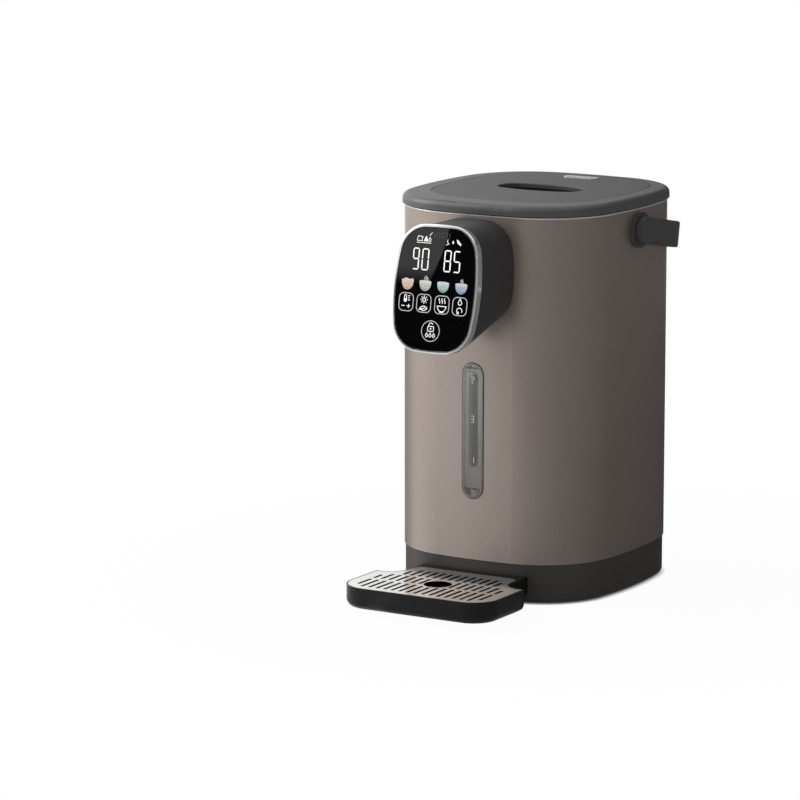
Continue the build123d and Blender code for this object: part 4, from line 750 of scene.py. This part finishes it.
def floorPaper(look):
    # matt paper that catches the shadow, plain white towards the horizon, and shaded at contact
    material = bpy.data.materials.new("floor_paper")
    material.use_nodes = True
    tree = material.node_tree
    tree.nodes.clear()
    place = addNode(tree, "ShaderNodeTexCoord").outputs["Object"]
    distance = addNode(tree, "ShaderNodeVectorMath", {0: place}, operation="LENGTH")
    fade = addNode(tree, "ShaderNodeMapRange", {
        "Value": distance.outputs["Value"], "From Min": look["fadeFrom"], "From Max": look["fadeTo"],
        "To Min": look["nearWhite"], "To Max": 1.0}, interpolation_type="SMOOTHSTEP")
    unshaded = addNode(tree, "ShaderNodeAmbientOcclusion", {"Distance": look["contact"]}, samples=8)
    share = addNode(tree, "ShaderNodeMath", {0: seenDirectly(tree), 1: fade.outputs["Result"]},
                    operation="MULTIPLY")
    share = addNode(tree, "ShaderNodeMath", {0: share.outputs["Value"], 1: unshaded.outputs["AO"]},
                    operation="MULTIPLY")
    paper = addNode(tree, "ShaderNodeBsdfDiffuse", {"Color": linearColour(look["floorTone"])})
    white = addNode(tree, "ShaderNodeEmission", {"Strength": 1.0})
    mixed = addNode(tree, "ShaderNodeMixShader", {0: share.outputs["Value"], 1: paper.outputs["BSDF"],
                                                  2: white.outputs["Emission"]})
    addNode(tree, "ShaderNodeOutputMaterial", {"Surface": mixed.outputs["Shader"]})
    return material


def whiteWorld(look):
    # white to the eye, and a weaker, even light on the object
    world = bpy.data.worlds.new("studio")
    world.use_nodes = True
    tree = world.node_tree
    tree.nodes.clear()
    strength = addNode(tree, "ShaderNodeMapRange", {"Value": seenDirectly(tree),
                                                    "To Min": look["ambient"], "To Max": 1.0})
    sky = addNode(tree, "ShaderNodeBackground", {"Color": (1, 1, 1, 1),
                                                 "Strength": strength.outputs["Result"]})
    addNode(tree, "ShaderNodeOutputWorld", {"Surface": sky.outputs["Background"]})
    return world


def softLamp(name, look):
    # a rectangular lamp that looks at a point above the floor's middle
    lamp = bpy.data.lights.new(name, "AREA")
    lamp.shape = "RECTANGLE"
    lamp.size, lamp.size_y = look["size"]
    lamp.energy = look["power"]
    holder = bpy.data.objects.new(name, lamp)
    holder.location = heading(look["azimuth"], look["distance"], look["height"])
    sight = Vector((0, 0, look["aim"])) - holder.location
    holder.rotation_euler = sight.to_track_quat("-Z", "Y").to_euler()
    bpy.context.scene.collection.objects.link(holder)


floorRing = ringPath((0, 0), studio["floorRadius"], studio["floorSides"])
floor = meshObject("floor", np.pad(floorRing, ((0, 0), (0, 1))), [list(range(len(floorRing)))],
                   floorPaper(studio))
bpy.context.scene.world = whiteWorld(studio)
softLamp("key_lamp", studio["key"])

# Each card runs between two arcs of the same headings. An arc is a reach and a height in metres
# from the corner that the card goes round; glows is the card's own faint light along the far arc,
# and along the near one where nearGlows gives no other
cards = {
    # a screen round the right half, and a sheet of the same card at its foot
    "dark_screen": dict(corner=(0, 0, 0), near=(1.9, 0.0), far=(1.9, 2.2),
                        azimuths=(-22.4, -13, 5, 60, 120, 147, 165, 196),
                        glows=(0.5, 0.45, 0.37, 0.27, 0.18, 0.13, 0.08, 0.08)),
    # the same card goes on behind the lid, fading out to the left
    "back_card": dict(corner=(0, 0, 0), near=(1.9, 0.0), far=(1.9, 2.2), azimuths=(196, 206, 218),
                      glows=(0.08, 0.32, 1.0)),
    "dark_sheet": dict(corner=(0.015, -0.111, 0.0006), near=(0.01, 0.0), far=(1.9, 0.0),
                       azimuths=(-22.4, -13, 5, 60, 120, 147, 165, 196),
                       glows=(0.5, 0.42, 0.33, 0.25, 0.17, 0.12, 0.07, 0.07),
                       nearGlows=(0.5, 0.5, 0.42, 0.2, 0.11, 0.08, 0.05, 0.05)),
    # on the floor at the left, for the sleeve's left edge
    "limb_card": dict(corner=(-0.08, -0.095, 0.0007), near=(0.01, 0.0), far=(1.9, 0.0),
                      azimuths=(212, 232, 250, 260, 272), glows=(0.15, 0.2, 0.3, 0.6, 1.0)),
    # low in front, darkest at the object's foot, for the lower sleeve and the level window
    "front_card": dict(corner=(0, -0.111, 0.0008), near=(0.12, 0.0), far=(0.95, 0.0),
                       azimuths=(-80, -60, -45, -22.4), glows=(1.0, 1.0, 1.0, 1.0),
                       nearGlows=(1.0, 0.7, 0.65, 0.6)),
}
cardTone = "#101010"
cardStations = 60


def darkCard(name, points, faces, tone, glow, blocksLight):
    # a matt card, nearly black, that only reflections and soft light meet; its glow runs from
    # point to point
    material, tree, shader = startMaterial(name, Roughness=1.0, Specular_IOR_Level=0.0)[:3]
    shader.inputs["Base Color"].default_value = linearColour(tone)
    shader.inputs["Emission Color"].default_value = (1, 1, 1, 1)
    glowing = addNode(tree, "ShaderNodeAttribute", attribute_name="glow")
    tree.links.new(glowing.outputs["Fac"], shader.inputs["Emission Strength"])
    card = meshObject(name, points, faces, material)
    pointGlows = card.data.attributes.new("glow", "FLOAT", "POINT")
    pointGlows.data.foreach_set("value", np.broadcast_to(glow, len(points)).astype(float))
    card.visible_camera = card.visible_shadow = card.visible_transmission = False
    card.visible_diffuse = blocksLight


def curvedCard(name, look):
    # a standing card also dims the soft light, one that lies on the floor is only mirrored
    turns = np.linspace(look["azimuths"][0], look["azimuths"][-1], cardStations)
    points = np.concatenate([[look["corner"] + heading(turn, *arc) for turn in turns]
                             for arc in (look["near"], look["far"])])
    first = np.arange(cardStations - 1)[:, None]
    strips = (first + [0, 1, cardStations + 1, cardStations]).tolist()
    glows = [np.interp(turns, look["azimuths"], look.get(row, look["glows"]))
             for row in ("nearGlows", "glows")]
    darkCard(name, points, strips, cardTone, np.concatenate(glows), look["far"][1] > 0)


for cardName, cardLook in cards.items():
    curvedCard(cardName, cardLook)


# Camera: the photograph's viewing angle, on an 800 by 800 frame

view = {
    "place": (1.7711, -3.1805, 0.8324), "turn": 31.0, "down": 10.5,  # metres and degrees
    "focalPixels": 4178.0, "frame": 800, "sensor": 36.0, "farClip": 50,
}
camera = bpy.data.cameras.new("camera")
camera.sensor_width = view["sensor"]
camera.lens = view["focalPixels"] / view["frame"] * view["sensor"]
camera.clip_end = view["farClip"]
cameraObject = bpy.data.objects.new("camera", camera)
cameraObject.location = view["place"]
cameraObject.rotation_euler = (math.radians(90 - view["down"]), 0, math.radians(view["turn"]))
bpy.context.scene.collection.objects.link(cameraObject)
bpy.context.scene.camera = cameraObject

# What the glass mirrors: a dark flag whose slanted edge leaves the upper left open, and a card
# that fades upwards below that opening. Corners in mm on the glass, away in metres
glassCards = {
    "away": 0.5, "tone": "#060606",
    "flag": ((80, -80), (-80, -80), (-80, 3), (-7.1, 3), (3.7, 29.4), (7.5, 42), (12, 80), (80, 80)),
    "fade": ((-80, 3), (-7.1, 3), (-1.4, 17), (-80, 17)), "fadeGlows": (0, 0, 1, 1),
}


def mirroredPoints(corners, away):
    # where the camera's rays go after they meet the glass: s - 2 (s.n) n, followed for a while
    lean = math.radians(panel["tilt"])
    outward = np.array([0.0, -math.cos(lean), math.sin(lean)])
    onGlass = onPanel(np.array(corners, float)) * millimetre
    sight = onGlass - np.array(view["place"])
    sight /= np.linalg.norm(sight, axis=1, keepdims=True)
    return onGlass + away * (sight - 2 * (sight @ outward)[:, None] * outward)


for flagName, corners, flagGlow in (("glass_flag", glassCards["flag"], 0.0),
                                    ("glass_fade", glassCards["fade"], glassCards["fadeGlows"])):
    darkCard(flagName, mirroredPoints(corners, glassCards["away"]), [list(range(len(corners)))],
             glassCards["tone"], flagGlow, False)
print("studio set")

bpy.context.scene.view_settings.view_transform = "Standard"
